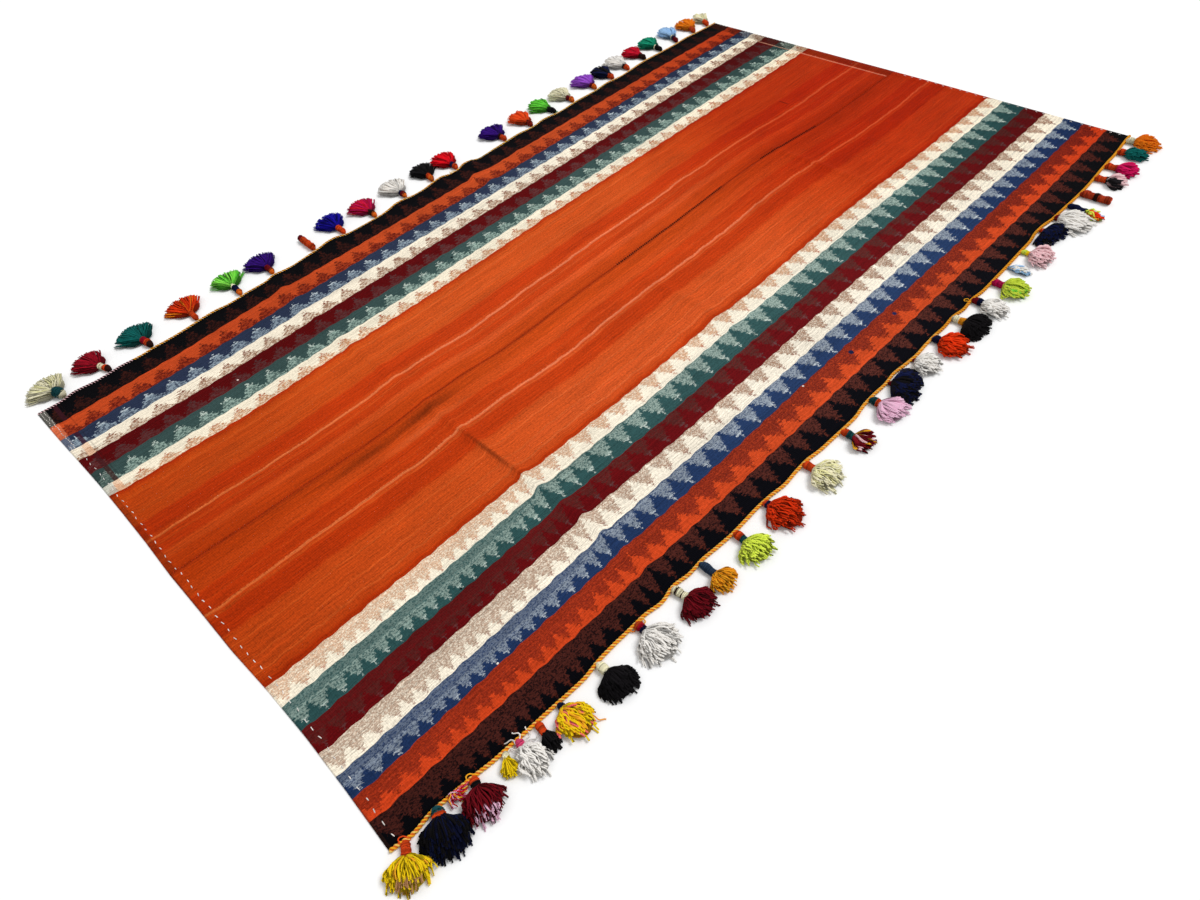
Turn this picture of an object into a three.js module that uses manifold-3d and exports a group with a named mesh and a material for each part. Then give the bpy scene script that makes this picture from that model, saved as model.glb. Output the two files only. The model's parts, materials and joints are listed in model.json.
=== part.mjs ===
// A jajim: a flat-woven wool rug of two long strips sewn edge to edge, with a plied cord whipped along
// both long edges and yarn tassels tied to the cords. It lies flat on the floor.
//
// Millimetres, +Z up. The origin is on the underside, in the middle of the cloth. +X runs across the rug to
// its right edge and +Y runs along it to its far end. The tables below give places as a weaver would:
// "along" is the distance from the far end and "across" is the distance from the left edge.
import * as THREE from "three";
import { mergeVertices } from "three/addons/utils/BufferGeometryUtils.js";
import Module from "manifold-3d";

const wasm = await Module();
wasm.setup();

// ---- Driving sizes ----
const LENGTH = 2830;          // cloth, along the warp
const WIDTH = 1650;           // cloth, both strips
const CLOTH = 2;              // thickness of one layer of the weave
const HEM = 20;               // width of the turned and stitched hem at each short end
const GAP = 0.3;              // left between pieces that touch
const LEFT_STEPS = 84;        // straight stretches along the left edge, which waves the more
const RIGHT_STEPS = 64;       // straight stretches along the right edge
const SEAM_STEPS = 24;        // straight stretches along the seam
const END_STEPS = 6;          // straight stretches along each strip's short ends
const LEFT_CORD = 4;          // diameter of the cord on the left edge
const RIGHT_CORD = 6.5;       // diameter of the cord on the right edge
const NECK = 18;              // diameter of a tassel's bound neck
const NECK_ROOT = 5;          // diameter where the neck is tied to the cord
const NECK_TAPER = 9;         // length over which the neck grows to its full diameter
const TASSEL_THICK = 28;      // height of a skirt of yarn lying on the floor
const SIDES = 8;              // sides of a cord's and of a tassel's section
const FLAT = Math.cos(Math.PI / SIDES);   // distance of a section's flats, as a part of its corners' distance

const PALETTE = {
  field: 0xc84a1a, cordGold: 0xe8a820, cordRust: 0xc88850,
  cream: 0xc8c49a, orange: 0xf07a10, paleBlue: 0x7a9cc8, emerald: 0x0e6a4a, crimson: 0x9c0c1c,
  white: 0xd8d0cc, navy: 0x10143a, lilac: 0x7a3aa0, green: 0x4ca82e, rust: 0xc0452a, indigo: 0x2e0a6a,
  red: 0xb80c18, black: 0x14100c, magenta: 0xa8104a, royal: 0x1a1a90, teal: 0x0e5a58, maroon: 0x6a0e1a,
  pink: 0xd8a8c0, lime: 0xb8d430, redOrange: 0xc42e10, mustard: 0xd08a1c, yellow: 0xe8d010,
};

// A table is a list of rows whose values are named by the columns.
function table(columns, rows) {
  return rows.map((row) => Object.fromEntries(columns.map((name, i) => [name, row[i]])));
}

// ---- The cloth's outline: each row is one crest or hollow of an edge that waves ----
const LEFT_EDGE = table(["along", "across"], [
  [-12, 0], [60, -3], [160, -12], [230, -9], [400, -17], [550, -5], [602, -16], [690, -7], [770, -11],
  [865, -3], [940, -17], [1003, -5], [1062, -15], [1180, -9], [1262, 0], [1300, -30], [1372, -3],
  [1412, -24], [1530, -6], [1600, -22], [1680, -3], [1800, -3], [1862, -29], [1945, -14], [2030, -4],
  [2088, -17], [2130, 0], [2170, -6], [2245, 2], [2300, -7], [2440, 3], [2500, 0], [2545, 5], [2590, -3],
  [2660, 3], [2738, -8], [2775, 4], [2838, 0],
]);
const RIGHT_EDGE = table(["along", "across"], [
  [6, 1651], [150, 1662], [370, 1673], [530, 1670], [608, 1661], [670, 1671], [850, 1676], [930, 1678],
  [981, 1672], [1025, 1677], [1078, 1669], [1125, 1675], [1172, 1671], [1250, 1676], [1345, 1667],
  [1395, 1675], [1440, 1669], [1520, 1680], [1640, 1677], [1708, 1669], [1765, 1677], [1845, 1669],
  [1960, 1673], [2050, 1666], [2085, 1670], [2138, 1662], [2170, 1673], [2245, 1661], [2275, 1669],
  [2320, 1663], [2400, 1673], [2480, 1669], [2600, 1664], [2665, 1657], [2745, 1650], [2790, 1657],
  [2835, 1648],
]);
const SEAM = table(["along", "across"], [
  [-6, 829], [330, 834], [780, 801], [1240, 816], [1500, 820], [1850, 831], [2060, 816], [2310, 826],
  [2560, 813], [2832, 803],
]);
const FAR_END = table(["across", "along"], [[0, -12], [830, -6], [1651, 6]]);
const NEAR_END = table(["across", "along"], [[0, 2838], [470, 2828], [1050, 2831], [1300, 2824], [1648, 2831]]);

// ---- Tassels: tied to the cord at "along"; the middle of the skirt lies "out" from the cord and "drift"
// nearer to the near end; the skirt is "long" from neck to tips and "wide" across. A bare neck that has lost
// its skirt has no width.
const TASSEL_COLUMNS = ["along", "out", "drift", "long", "wide", "yarn"];
const LEFT_TASSELS = table(TASSEL_COLUMNS, [
  [25, 60, -29, 62, 70, "cream"],
  [103, 66, -29, 78, 80, "orange"],
  [205, 78, -33, 80, 72, "paleBlue"],
  [296, 79, -10, 76, 84, "emerald"],
  [380, 71, 3, 74, 76, "crimson"],
  [480, 77, 1, 84, 86, "white"],
  [573, 66, -3, 80, 76, "navy"],
  [668, 74, -8, 80, 92, "lilac"],
  [786, 74, -2, 76, 82, "cream"],
  [878, 80, 12, 80, 80, "green"],
  [1000, 70, -7, 84, 80, "rust"],
  [1118, 73, 5, 80, 100, "indigo"],
  [1350, 74, -3, 84, 90, "red"],
  [1450, 70, -15, 80, 84, "black"],
  [1568, 76, -5, 84, 94, "white"],
  [1700, 77, -2, 80, 92, "magenta"],
  [1820, 82, -4, 84, 92, "royal"],
  [1933, 90, -8, 0, 0, "rust"],
  [2080, 76, 3, 80, 96, "indigo"],
  [2205, 92, -8, 72, 96, "green"],
  [2350, 82, 0, 84, 104, "rust"],
  [2495, 82, 16, 84, 116, "teal"],
  [2622, 74, 34, 84, 92, "maroon"],
  [2757, 67, 27, 80, 110, "cream"],
]);
const RIGHT_TASSELS = table(TASSEL_COLUMNS, [
  [45, 58, -8, 64, 78, "orange"],
  [121, 52, -10, 60, 54, "teal"],
  [208, 60, 0, 58, 64, "magenta"],
  [290, 54, -10, 54, 62, "pink"],
  [382, 85, 3, 0, 0, "rust"],
  [455, 78, 16, 48, 34, "lime"],
  [535, 56, -4, 84, 80, "white"],
  [605, 36, 10, 50, 84, "navy"],
  [728, 48, -4, 60, 92, "pink"],
  [805, 36, 1, 48, 24, "paleBlue"],
  [888, 60, 2, 66, 84, "lime"],
  [981, 60, 8, 66, 58, "white"],
  [1075, 58, 2, 62, 88, "black"],
  [1172, 54, 0, 70, 86, "redOrange"],
  [1270, 40, -2, 56, 64, "white"],
  [1375, 40, -17, 62, 86, "navy"],
  [1444, 54, 6, 70, 88, "pink"],
  [1574, 52, -4, 52, 62, "maroon"],
  [1708, 56, -6, 68, 88, "cream"],
  [1845, 54, 0, 72, 88, "redOrange"],
  [1948, 56, 8, 64, 82, "lime"],
  [2053, 60, 5, 52, 60, "mustard"],
  [2140, 62, -8, 64, 78, "maroon"],
  [2247, 60, -2, 76, 86, "white"],
  [2353, 58, 6, 64, 72, "black"],
  [2459, 46, 6, 72, 68, "yellow"],
  [2512, 46, 9, 34, 34, "black"],
  [2558, 50, 8, 62, 54, "white"],
  [2588, 28, 16, 32, 32, "yellow"],
  [2657, 50, 18, 64, 78, "maroon"],
  [2733, 50, 24, 68, 76, "navy"],
  [2805, 46, 30, 58, 76, "yellow"],
]);

// ---- Helpers ----
const placeX = (across) => across - WIDTH / 2;
const placeY = (along) => LENGTH / 2 - along;

// The value of one column at a given place in another, between the two rows on either side of it. It is eased,
// so that each row is a crest or a hollow, or on a straight line from row to row.
function between(rows, key, place, value, straight = false) {
  const next = rows.findIndex((row) => row[key] >= place);
  if (next === 0) return rows[0][value];
  if (next < 0) return rows.at(-1)[value];
  const [from, to] = [rows[next - 1], rows[next]];
  const part = (place - from[key]) / (to[key] - from[key]);
  return THREE.MathUtils.lerp(from[value], to[value], straight ? part : THREE.MathUtils.smoothstep(part, 0, 1));
}

// A line down the rug from its far end to its near one, through the crests of a table.
class EdgeLine extends THREE.Curve {
  constructor(rows) {
    super();
    this.rows = rows;
  }

  getPoint(t, target = new THREE.Vector3()) {
    const along = THREE.MathUtils.lerp(this.rows[0].along, this.rows.at(-1).along, t);
    return target.set(placeX(between(this.rows, "along", along, "across")), placeY(along), 0);
  }
}

// Points along a short end, from one distance across to another.
function endPoints(rows, fromX, toX) {
  return Array.from({ length: END_STEPS - 1 }, (_, i) => {
    const x = THREE.MathUtils.lerp(fromX, toX, (i + 1) / END_STEPS);
    return new THREE.Vector2(x, placeY(between(rows, "across", x + WIDTH / 2, "along")));
  });
}

function solidOf(geometry) {
  geometry.deleteAttribute("normal");
  geometry.deleteAttribute("uv");
  const merged = mergeVertices(geometry);
  const vertProperties = new Float32Array(merged.attributes.position.array);
  const triVerts = new Uint32Array(merged.index.array);
  return new wasm.Manifold(new wasm.Mesh({ numProp: 3, vertProperties, triVerts }));
}

function geometryOf(solid) {
  const mesh = solid.getMesh();
  const geometry = new THREE.BufferGeometry();
  geometry.setAttribute("position", new THREE.BufferAttribute(mesh.vertProperties, 3));
  geometry.setIndex(new THREE.BufferAttribute(mesh.triVerts, 1));
  geometry.computeVertexNormals();
  return geometry;
}

function named(name, geometry, color) {
  const material = new THREE.MeshStandardMaterial({ color, roughness: 0.9, metalness: 0 });
  const mesh = new THREE.Mesh(geometry, material);
  mesh.name = name;
  return mesh;
}

// ---- The two woven strips ----
// A strip is one layer of cloth between its outer edge and the seam, and two layers in the hems at its ends.
function strip(name, outerLine, steps, side) {
  const outer = outerLine.getSpacedPoints(steps);
  const seam = new EdgeLine(SEAM).getSpacedPoints(SEAM_STEPS);
  seam.forEach((point) => { point.x += side * GAP / 2; });
  const far = endPoints(FAR_END, outer[0].x, seam[0].x);
  const near = endPoints(NEAR_END, seam.at(-1).x, outer.at(-1).x);
  const outline = [...far, ...seam, ...near, ...outer.reverse()].map((point) => new THREE.Vector2(point.x, point.y));
  const doubled = new THREE.ExtrudeGeometry(new THREE.Shape(outline), { depth: 2 * CLOTH, bevelEnabled: false });
  const spare = new THREE.BoxGeometry(2 * WIDTH, LENGTH - 2 * HEM, 2 * CLOTH);
  spare.translate(0, 0, 2 * CLOTH);
  return named(name, geometryOf(solidOf(doubled).subtract(solidOf(spare))), PALETTE.field);
}

// ---- The edge cords ----
// On a level line the first direction of an extruded section points down and the second one sideways, so the
// section stands half its thickness up and lies just outside the edge of the cloth.
function cord(name, line, steps, side, diameter, color) {
  const radius = diameter / 2;
  const corners = Array.from({ length: SIDES }, (_, i) => {
    const angle = (i + 0.5) * 2 * Math.PI / SIDES;
    const x = -radius + radius / FLAT * Math.cos(angle);
    const y = side * (GAP + radius) + radius / FLAT * Math.sin(angle);
    return new THREE.Vector2(x, y);
  });
  const options = { steps, extrudePath: line };
  return named(name, new THREE.ExtrudeGeometry(new THREE.Shape(corners), options), color);
}

// ---- The tassels ----
// The outline of a tassel from the knot at its root to its tips, as rings of a turned shape: a bound neck,
// then a skirt that fans out and closes in at the tips of its strands.
function tasselProfile(row) {
  const reach = Math.hypot(row.out, row.drift);
  const ring = (radius, length) => new THREE.Vector2(radius, length);
  const root = [ring(0, 0), ring(NECK_ROOT / 2, 0), ring(NECK / 2, NECK_TAPER)];
  if (row.wide === 0) return [...root, ring(NECK / 2, reach - 3), ring(NECK / 3, reach), ring(0, reach)];
  const start = reach - row.long / 2;
  const neck = Math.min(NECK, 0.6 * row.wide) / 2;
  const tips = start + row.long;
  return [
    ring(0, 0), ring(NECK_ROOT / 2, 0), ring(neck, Math.min(NECK_TAPER, 0.8 * start)), ring(neck, start),
    ring(0.36 * row.wide, start + 0.22 * row.long), ring(0.5 * row.wide, start + 0.62 * row.long),
    ring(0.44 * row.wide, start + 0.84 * row.long), ring(0.16 * row.wide, tips), ring(0, tips),
  ];
}

// Presses a turned shape flat: a ring stays round up to the given height, a wider one keeps that height, and
// every ring comes down on the floor.
function pressFlat(geometry, profile, height) {
  const position = geometry.attributes.position;
  for (let i = 0; i < position.count; i++) {
    const ring = profile.find((point) => point.x > 0 && Math.abs(point.y - position.getY(i)) < 0.01);
    const half = Math.min(ring.x, height / 2);
    position.setZ(i, position.getZ(i) * half / ring.x + half * FLAT);
  }
}

// The line just outside a cord that tassels come up to, as a table of places.
function rimOf(line, steps, side, diameter) {
  const { tangents } = line.computeFrenetFrames(steps, false);
  const width = diameter + 2 * GAP;
  return line.getSpacedPoints(steps).map((point, i) => {
    const across = point.x - side * tangents[i].y * width;
    return { across, along: placeY(point.y + side * tangents[i].x * width) };
  });
}

// A tassel lies with its root tied to the cord: it is moved outwards until no corner of it is inside the rim.
function tassel(name, row, rim, side) {
  const profile = tasselProfile(row);
  const geometry = new THREE.LatheGeometry(profile, SIDES, Math.PI / SIDES);
  pressFlat(geometry, profile, TASSEL_THICK);
  geometry.rotateZ(side * (-Math.PI / 2 - Math.atan2(row.drift, row.out)));
  const corner = new THREE.Vector3();
  let shift = -Infinity;
  for (let i = 0; i < geometry.attributes.position.count; i++) {
    corner.fromBufferAttribute(geometry.attributes.position, i);
    const edge = between(rim, "along", row.along - corner.y, "across", true);
    shift = Math.max(shift, side * (edge - corner.x));
  }
  const mesh = named(name, geometry, PALETTE[row.yarn]);
  mesh.position.set(side * shift, placeY(row.along), 0);
  return mesh;
}

// ---- The rug ----
const rug = new THREE.Group();
const leftLine = new EdgeLine(LEFT_EDGE);
const rightLine = new EdgeLine(RIGHT_EDGE);
rug.add(strip("panel_left", leftLine, LEFT_STEPS, -1), strip("panel_right", rightLine, RIGHT_STEPS, 1));
rug.add(cord("cord_left", leftLine, LEFT_STEPS, -1, LEFT_CORD, PALETTE.cordRust));
rug.add(cord("cord_right", rightLine, RIGHT_STEPS, 1, RIGHT_CORD, PALETTE.cordGold));
const leftRim = rimOf(leftLine, LEFT_STEPS, -1, LEFT_CORD);
const rightRim = rimOf(rightLine, RIGHT_STEPS, 1, RIGHT_CORD);
const number = (i) => String(i + 1).padStart(2, "0");
LEFT_TASSELS.forEach((row, i) => rug.add(tassel(`tassel_l${number(i)}`, row, leftRim, -1)));
RIGHT_TASSELS.forEach((row, i) => rug.add(tassel(`tassel_r${number(i)}`, row, rightRim, 1)));

export default rug;
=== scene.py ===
# %% [markdown]
# # A jajim rug
# A jajim is a flat-woven wool rug: two long warp-faced strips, each as wide as a hand loom, sewn edge to
# edge. A plied cord is whipped along both long edges, and a tassel of dyed yarn is tied to it every hand's
# width. This lesson dresses the measured solids of the rug: first the camera and the light, then the two
# strips of cloth, their stitches, the two cords and the tassels.
#
# Places are given as a weaver would give them, in millimetres: "along" is the distance from the far end and
# "across" is the distance from the left edge.

# %% Load the measured solids
import functools
import json
import math

import bmesh
import bpy
import numpy as np
from mathutils import Matrix, Vector


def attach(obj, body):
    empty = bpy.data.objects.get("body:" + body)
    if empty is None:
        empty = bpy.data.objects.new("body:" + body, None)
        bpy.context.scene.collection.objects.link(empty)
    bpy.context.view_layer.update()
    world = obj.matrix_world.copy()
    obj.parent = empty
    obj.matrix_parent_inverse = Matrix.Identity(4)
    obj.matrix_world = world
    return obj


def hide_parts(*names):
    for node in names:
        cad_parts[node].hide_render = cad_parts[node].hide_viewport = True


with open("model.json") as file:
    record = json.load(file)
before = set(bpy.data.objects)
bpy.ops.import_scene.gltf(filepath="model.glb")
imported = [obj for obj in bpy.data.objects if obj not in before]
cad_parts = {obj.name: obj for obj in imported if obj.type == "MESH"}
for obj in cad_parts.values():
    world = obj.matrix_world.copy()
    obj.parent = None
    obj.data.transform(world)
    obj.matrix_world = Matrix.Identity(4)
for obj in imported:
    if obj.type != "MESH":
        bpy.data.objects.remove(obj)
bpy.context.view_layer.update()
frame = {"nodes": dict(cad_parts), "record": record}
SLOTS = {part["node"]: part["material_slot"] for part in frame["record"]["subparts"]}
print("solids:", len(frame["nodes"]))

# %% Sizes that everything follows
MM = 0.001                # a millimetre, in metres
LENGTH = 2830             # cloth, along the warp
WIDTH = 1650              # cloth, both strips
CLOTH = 2                 # thickness of one layer of the weave
HEM = 20                  # width of the hem that is turned under at each short end
GAP = 0.3                 # between the cloth and the cord on its edge
LEFT_CORD = 4             # diameter of the cord on the left edge
RIGHT_CORD = 6.5          # diameter of the cord on the right edge


def table(columns, rows):
    """A table is a list of rows whose values are named by the columns."""
    return [dict(zip(columns, row)) for row in rows]


def place(across, along, height):
    """Points of the rug in metres, from millimetres across, along and above the floor."""
    spots = np.broadcast_arrays(across - WIDTH / 2.0, LENGTH / 2.0 - along, height)
    return np.stack(spots, axis=-1) * MM


def put(name, data):
    """A new object in the scene."""
    made = bpy.data.objects.new(name, data)
    bpy.context.scene.collection.objects.link(made)
    return made


# %% [markdown]
# ## Camera
# A rug is best seen from a corner, from the height of a person's eyes. The camera is a wide lens on a full
# 36 mm frame, aimed at a spot on the floor and tipped a little, as a camera held in the hand is. It is made
# from the rug's own width, so that it follows if the rug's size is changed.

# %% Camera
camera_data = bpy.data.cameras.new("camera")
camera_data.sensor_width = 36
camera_data.lens = 25.64
camera = put("camera", camera_data)
eye = Vector((0.923, -0.837, 0.8976)) * WIDTH * MM
aim = Vector((0.2801, -0.3299, 0)) * WIDTH * MM
level = (aim - eye).to_track_quat("-Z", "Y").to_matrix().to_4x4()
camera.matrix_world = Matrix.Translation(eye) @ level @ Matrix.Rotation(math.radians(-9.46), 4, "Z")
bpy.context.scene.camera = camera
print("camera height:", round(eye.z, 3), "m")

# %% [markdown]
# ## A helper for materials
# Every finish below is a small graph of nodes. One function adds a node, sets it and joins it, so that a
# graph reads from top to bottom like a recipe. Colours are written as a painter's hex values and turned into
# the linear light values that a renderer counts in.

# %% Colours and nodes


def linear(hex_color):
    """An sRGB colour such as "c84a1a" as linear red, green, blue and an alpha of one."""
    parts = [int(hex_color[i:i + 2], 16) / 255 for i in (0, 2, 4)]
    return [c / 12.92 if c <= 0.04045 else ((c + 0.055) / 1.055) ** 2.4 for c in parts] + [1.0]


def node(tree, kind, *values, stops=(), **settings):
    """Adds a node and returns its first output in use.

    The kind may end in an operation, as in "Math ADD". Values are set on the inputs, or joined to them, in
    order; a dictionary of values goes by the inputs' names. Stops are the places and colours of a ramp.
    """
    kind, _, operation = kind.partition(" ")
    made = tree.nodes.new("ShaderNode" + kind)
    if operation:
        settings["operation"] = operation
    blend = settings.pop("blend", "LINEAR")
    for name, value in settings.items():
        setattr(made, name, value)
    if stops:
        made.color_ramp.interpolation = blend
        while len(made.color_ramp.elements) < len(stops):
            made.color_ramp.elements.new(1.0)
        for element, (position, color) in zip(made.color_ramp.elements, stops):
            element.position = position
            element.color = color
    in_use = [socket for socket in made.inputs if socket.enabled]
    wanted = []
    for place, value in enumerate(values):
        wanted += value.items() if isinstance(value, dict) else [(in_use[place].name, value, in_use[place])]
    for name, value, *socket in wanted:
        socket = socket[0] if socket else next(found for found in in_use if found.name == name)
        if isinstance(value, bpy.types.NodeSocket):
            tree.links.new(value, socket)
        else:
            socket.default_value = value
    return next((socket for socket in made.outputs if socket.enabled), None)


def new_material(name):
    """An empty material, and the function that adds nodes to it."""
    made = bpy.data.materials.new(name)
    made.use_nodes = True
    made.node_tree.nodes.clear()
    return made, functools.partial(node, made.node_tree)


# %% [markdown]
# ## Floor and light
# The studio is a white floor under an even white sky, with one broad lamp behind and above the rug. The sky
# and the lamp together give a level at which a colour renders about as it is written. The floor is a little
# less white for bounced light than it is for the camera, so that it doesn't flood the wool with light.

# %% Studio
SKY_SHARE = 0.62          # light on the floor from the sky, where 1 lights white paint to full white
LAMP_SHARE = 0.44         # and from the lamp

world = bpy.data.worlds.new("studio")
bpy.context.scene.world = world
world.use_nodes = True
world.node_tree.nodes.clear()
add = functools.partial(node, world.node_tree)
ray = add("LightPath")
seen = add("Math MAXIMUM", ray, ray.node.outputs["Is Glossy Ray"])
seen = add("Math MAXIMUM", seen, ray.node.outputs["Is Transmission Ray"])
strength = add("MapRange", {"Value": seen, "To Min": SKY_SHARE, "To Max": 1.0})
add("OutputWorld", add("Background", (1, 1, 1, 1), strength))

lamp_data = bpy.data.lights.new("softbox", "SUN")
lamp_data.angle = math.radians(24)
lamp = put("softbox", lamp_data)
lamp_way = Vector((-0.30, -0.42, -0.85)).normalized()
lamp.matrix_world = lamp_way.to_track_quat("-Z", "Y").to_matrix().to_4x4()
lamp_data.energy = LAMP_SHARE * math.pi / -lamp_way.z

floor_paint, add = new_material("matt_white_floor")
ray = add("LightPath")
seen = add("Math MAXIMUM", ray, ray.node.outputs["Is Glossy Ray"])
white = add("Mix", seen, linear("dcdcdc"), linear("ffffff"), data_type="RGBA")
add("OutputMaterial", add("BsdfDiffuse", white))

shape = bmesh.new()
bmesh.ops.create_grid(shape, x_segments=1, y_segments=1, size=12)
floor_mesh = bpy.data.meshes.new("floor")
shape.to_mesh(floor_mesh)
shape.free()
floor_mesh.materials.append(floor_paint)
floor = put("floor", floor_mesh)
bpy.context.scene.view_settings.view_transform = "Standard"

# %% [markdown]
# ## The outline of the cloth
# The cloth isn't a rectangle: its long edges waver, and the seam wanders.
# The solids already have that outline, so the lines are read from their lower corners and eased a little,
# and nothing is measured twice.

# %% Lines of the outline
EASE = 9                  # the lines are averaged over this distance each way


def corners_of(panel):
    """The corners of a panel's underside, as rows of across and along."""
    corners = np.array([vertex.co for vertex in frame["nodes"][panel].data.vertices]) / MM
    corners = np.unique(np.round(corners[corners[:, 2] < CLOTH / 4], 2), axis=0)
    return np.stack([corners[:, 0] + WIDTH / 2, LENGTH / 2 - corners[:, 1]], axis=-1)


def line_through(corners, key):
    """A line through corners: a function from the place in the key column to the place in the other."""
    corners = corners[corners[:, key].argsort()]

    def line(spots):
        steps = [np.interp(spots + ease, corners[:, key], corners[:, 1 - key]) for ease in (-EASE, 0, EASE)]
        return np.mean(steps, axis=0)
    return line


left_corners = corners_of("panel_left")
right_corners = corners_of("panel_right")
END_ZONE = 15             # corners this close to an end belong to that end


def outline(corners, edge_across):
    """The four lines of a panel: outer edge and seam by along, and far and near end by across."""
    across, along = corners[:, 0], corners[:, 1]
    return {
        "edge": line_through(corners[abs(across - edge_across) < 60], 1),
        "seam": line_through(corners[abs(across - WIDTH / 2) < 60], 1),
        "far": line_through(corners[along < END_ZONE], 0),
        "near": line_through(corners[along > LENGTH - END_ZONE], 0),
    }


LEFT = outline(left_corners, 0)
RIGHT = outline(right_corners, WIDTH)
print("left edge at mid length:", round(float(LEFT["edge"](LENGTH / 2)), 1), "mm across")

# %% [markdown]
# ## How the cloth lies
# The rug lies flat, but soft creases run across it, two more run along the seam, and the cloth puckers where
# its edges are drawn in. Each crease is placed as a low soft ridge: its middle, its turn from the
# weft in degrees, and how long, wide and high it is. The seam is a shallow valley.

# %% Creases and puckers
RIDGES = table(["along", "across", "turn", "long", "wide", "high"], [
    [655, 1010, 1, 210, 13, 5.5],
    [672, 430, -2, 260, 22, 2.0],
    [1412, 1085, -1, 140, 12, 6.0],
    [1300, 45, 14, 85, 15, 6.0],
    [1345, 120, -20, 60, 12, 3.0],
    [2130, 1040, 0, 210, 13, 9.0],
    [2128, 1440, 1, 260, 13, 5.0],
    [2122, 470, -1, 330, 16, 4.5],
    [2104, 70, 4, 90, 16, 4.5],
    [2325, 893, 88, 130, 20, 4.0],
    [2300, 800, 92, 150, 22, 2.5],
    [385, 642, 0, 40, 8, 2.0],
    [1880, 1150, 3, 200, 30, 1.6],
    [900, 1300, -2, 260, 34, 1.6],
    [1700, 380, 2, 240, 34, 1.6],
    [2560, 1250, -2, 260, 32, 1.8],
    [2600, 350, 2, 240, 30, 1.8],
    [300, 1200, 2, 260, 30, 1.6],
])
PUCKER = 3.4              # height of the cloth's pucker where a cord draws the edge in
SEAM_SWELL = 1.6          # height of the cloth on either side of the sewn seam


def relief(across, along, lines):
    """How far the cloth is lifted off the floor, in millimetres."""
    height = np.zeros(np.broadcast(across, along).shape)
    for ridge in RIDGES:
        turn = math.radians(ridge["turn"])
        ahead = (across - ridge["across"]) * math.cos(turn) + (along - ridge["along"]) * math.sin(turn)
        aside = (along - ridge["along"]) * math.cos(turn) - (across - ridge["across"]) * math.sin(turn)
        height += ridge["high"] * np.exp(-(ahead / ridge["long"]) ** 2 - (aside / ridge["wide"]) ** 2)
    edge = lines["edge"](along)
    inward = np.sign(WIDTH / 2 - edge)
    calm = np.mean([lines["edge"](along + step) for step in range(-120, 121, 40)], axis=0)
    drawn = np.clip(inward * (edge - calm) / 8, 0, 1)
    height += PUCKER * drawn * np.exp(-((across - edge) / 42) ** 2)
    from_seam = abs(across - lines["seam"](along))
    height += SEAM_SWELL * np.exp(-((from_seam - 13) / 8) ** 2) * (0.6 + 0.4 * np.sin(along / 17))
    height += 0.35 * (1 + np.sin(across / 61 + along / 83) * np.sin(along / 47 - across / 97))
    calm_end = np.clip(np.minimum(along, LENGTH - along) / 60, 0, 1)
    return height * calm_end


# %% [markdown]
# ## The bands of a strip
# A strip has eight bands. From the outer edge they are black, orange, blue, cream, maroon, green, cream and
# half of the plain orange field. In the loom every band is straight, and the cloth's handling bends it, so
# the sheet is a grid whose columns follow the bands: the table gives where each band after the first begins,
# at a few places along. A second table holds the short kinks that the creases and the pulled edge make.

# %% Bands and kinks
BAND_COLUMNS = ["along", "orange", "blue", "cream", "maroon", "green", "pale", "field"]
LEFT_BANDS = table(BAND_COLUMNS, [
    [0, 77, 144, 201, 261, 337, 409, 463],
    [400, 71, 143, 203, 264, 334, 406, 464],
    [850, 72, 148, 210, 274, 339, 409, 462],
    [1180, 76, 150, 214, 277, 344, 412, 462],
    [1500, 78, 151, 216, 280, 349, 415, 467],
    [1800, 79, 152, 217, 280, 350, 420, 475],
    [2130, 76, 154, 222, 284, 354, 419, 474],
    [2450, 90, 162, 230, 289, 356, 427, 480],
    [2750, 89, 161, 227, 280, 350, 420, 467],
    [2830, 88, 160, 221, 276, 347, 418, 460],
])
RIGHT_BANDS = table(BAND_COLUMNS, [
    [0, 1585, 1515, 1453, 1389, 1322, 1245, 1191],
    [350, 1594, 1522, 1460, 1396, 1327, 1252, 1198],
    [850, 1600, 1525, 1459, 1396, 1325, 1251, 1192],
    [1250, 1600, 1525, 1462, 1400, 1330, 1258, 1203],
    [1480, 1600, 1525, 1465, 1404, 1332, 1258, 1202],
    [1800, 1602, 1529, 1466, 1406, 1339, 1267, 1211],
    [2125, 1597, 1526, 1464, 1400, 1334, 1265, 1208],
    [2450, 1596, 1528, 1471, 1408, 1342, 1272, 1214],
    [2800, 1590, 1532, 1475, 1415, 1350, 1277, 1217],
    [2830, 1587, 1530, 1473, 1414, 1349, 1276, 1216],
])
KINKS = table(["along", "reach_along", "across", "reach_across", "shift"], [
    [1337, 20, 78, 38, -17],
    [1330, 26, 150, 40, -7],
    [1140, 30, 78, 30, -5],
    [1372, 18, 463, 45, -7],
    [1436, 20, 1203, 70, -9],
    [2128, 16, 1300, 330, -6],
    [2104, 24, 110, 130, -6],
    [655, 16, 1200, 90, -3],
])
WAVER = 1.3               # how far a line between bands wavers from its course, in two waves:
WAVES = [(1.0, 10.3, 2.2), (0.7, 5.9, 1.3)]      # share, length for each radian, shift from line to line
BAND_WIDTH = 70           # a band's width on the loom
FIELD_WIDTH = 362         # and the half field's
FIELD_COLUMNS = 34        # columns of the grid across the field's half
BAND_STEPS = 7            # and across each of the other bands
ROWS = 268                # rows of the grid between the hems


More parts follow.
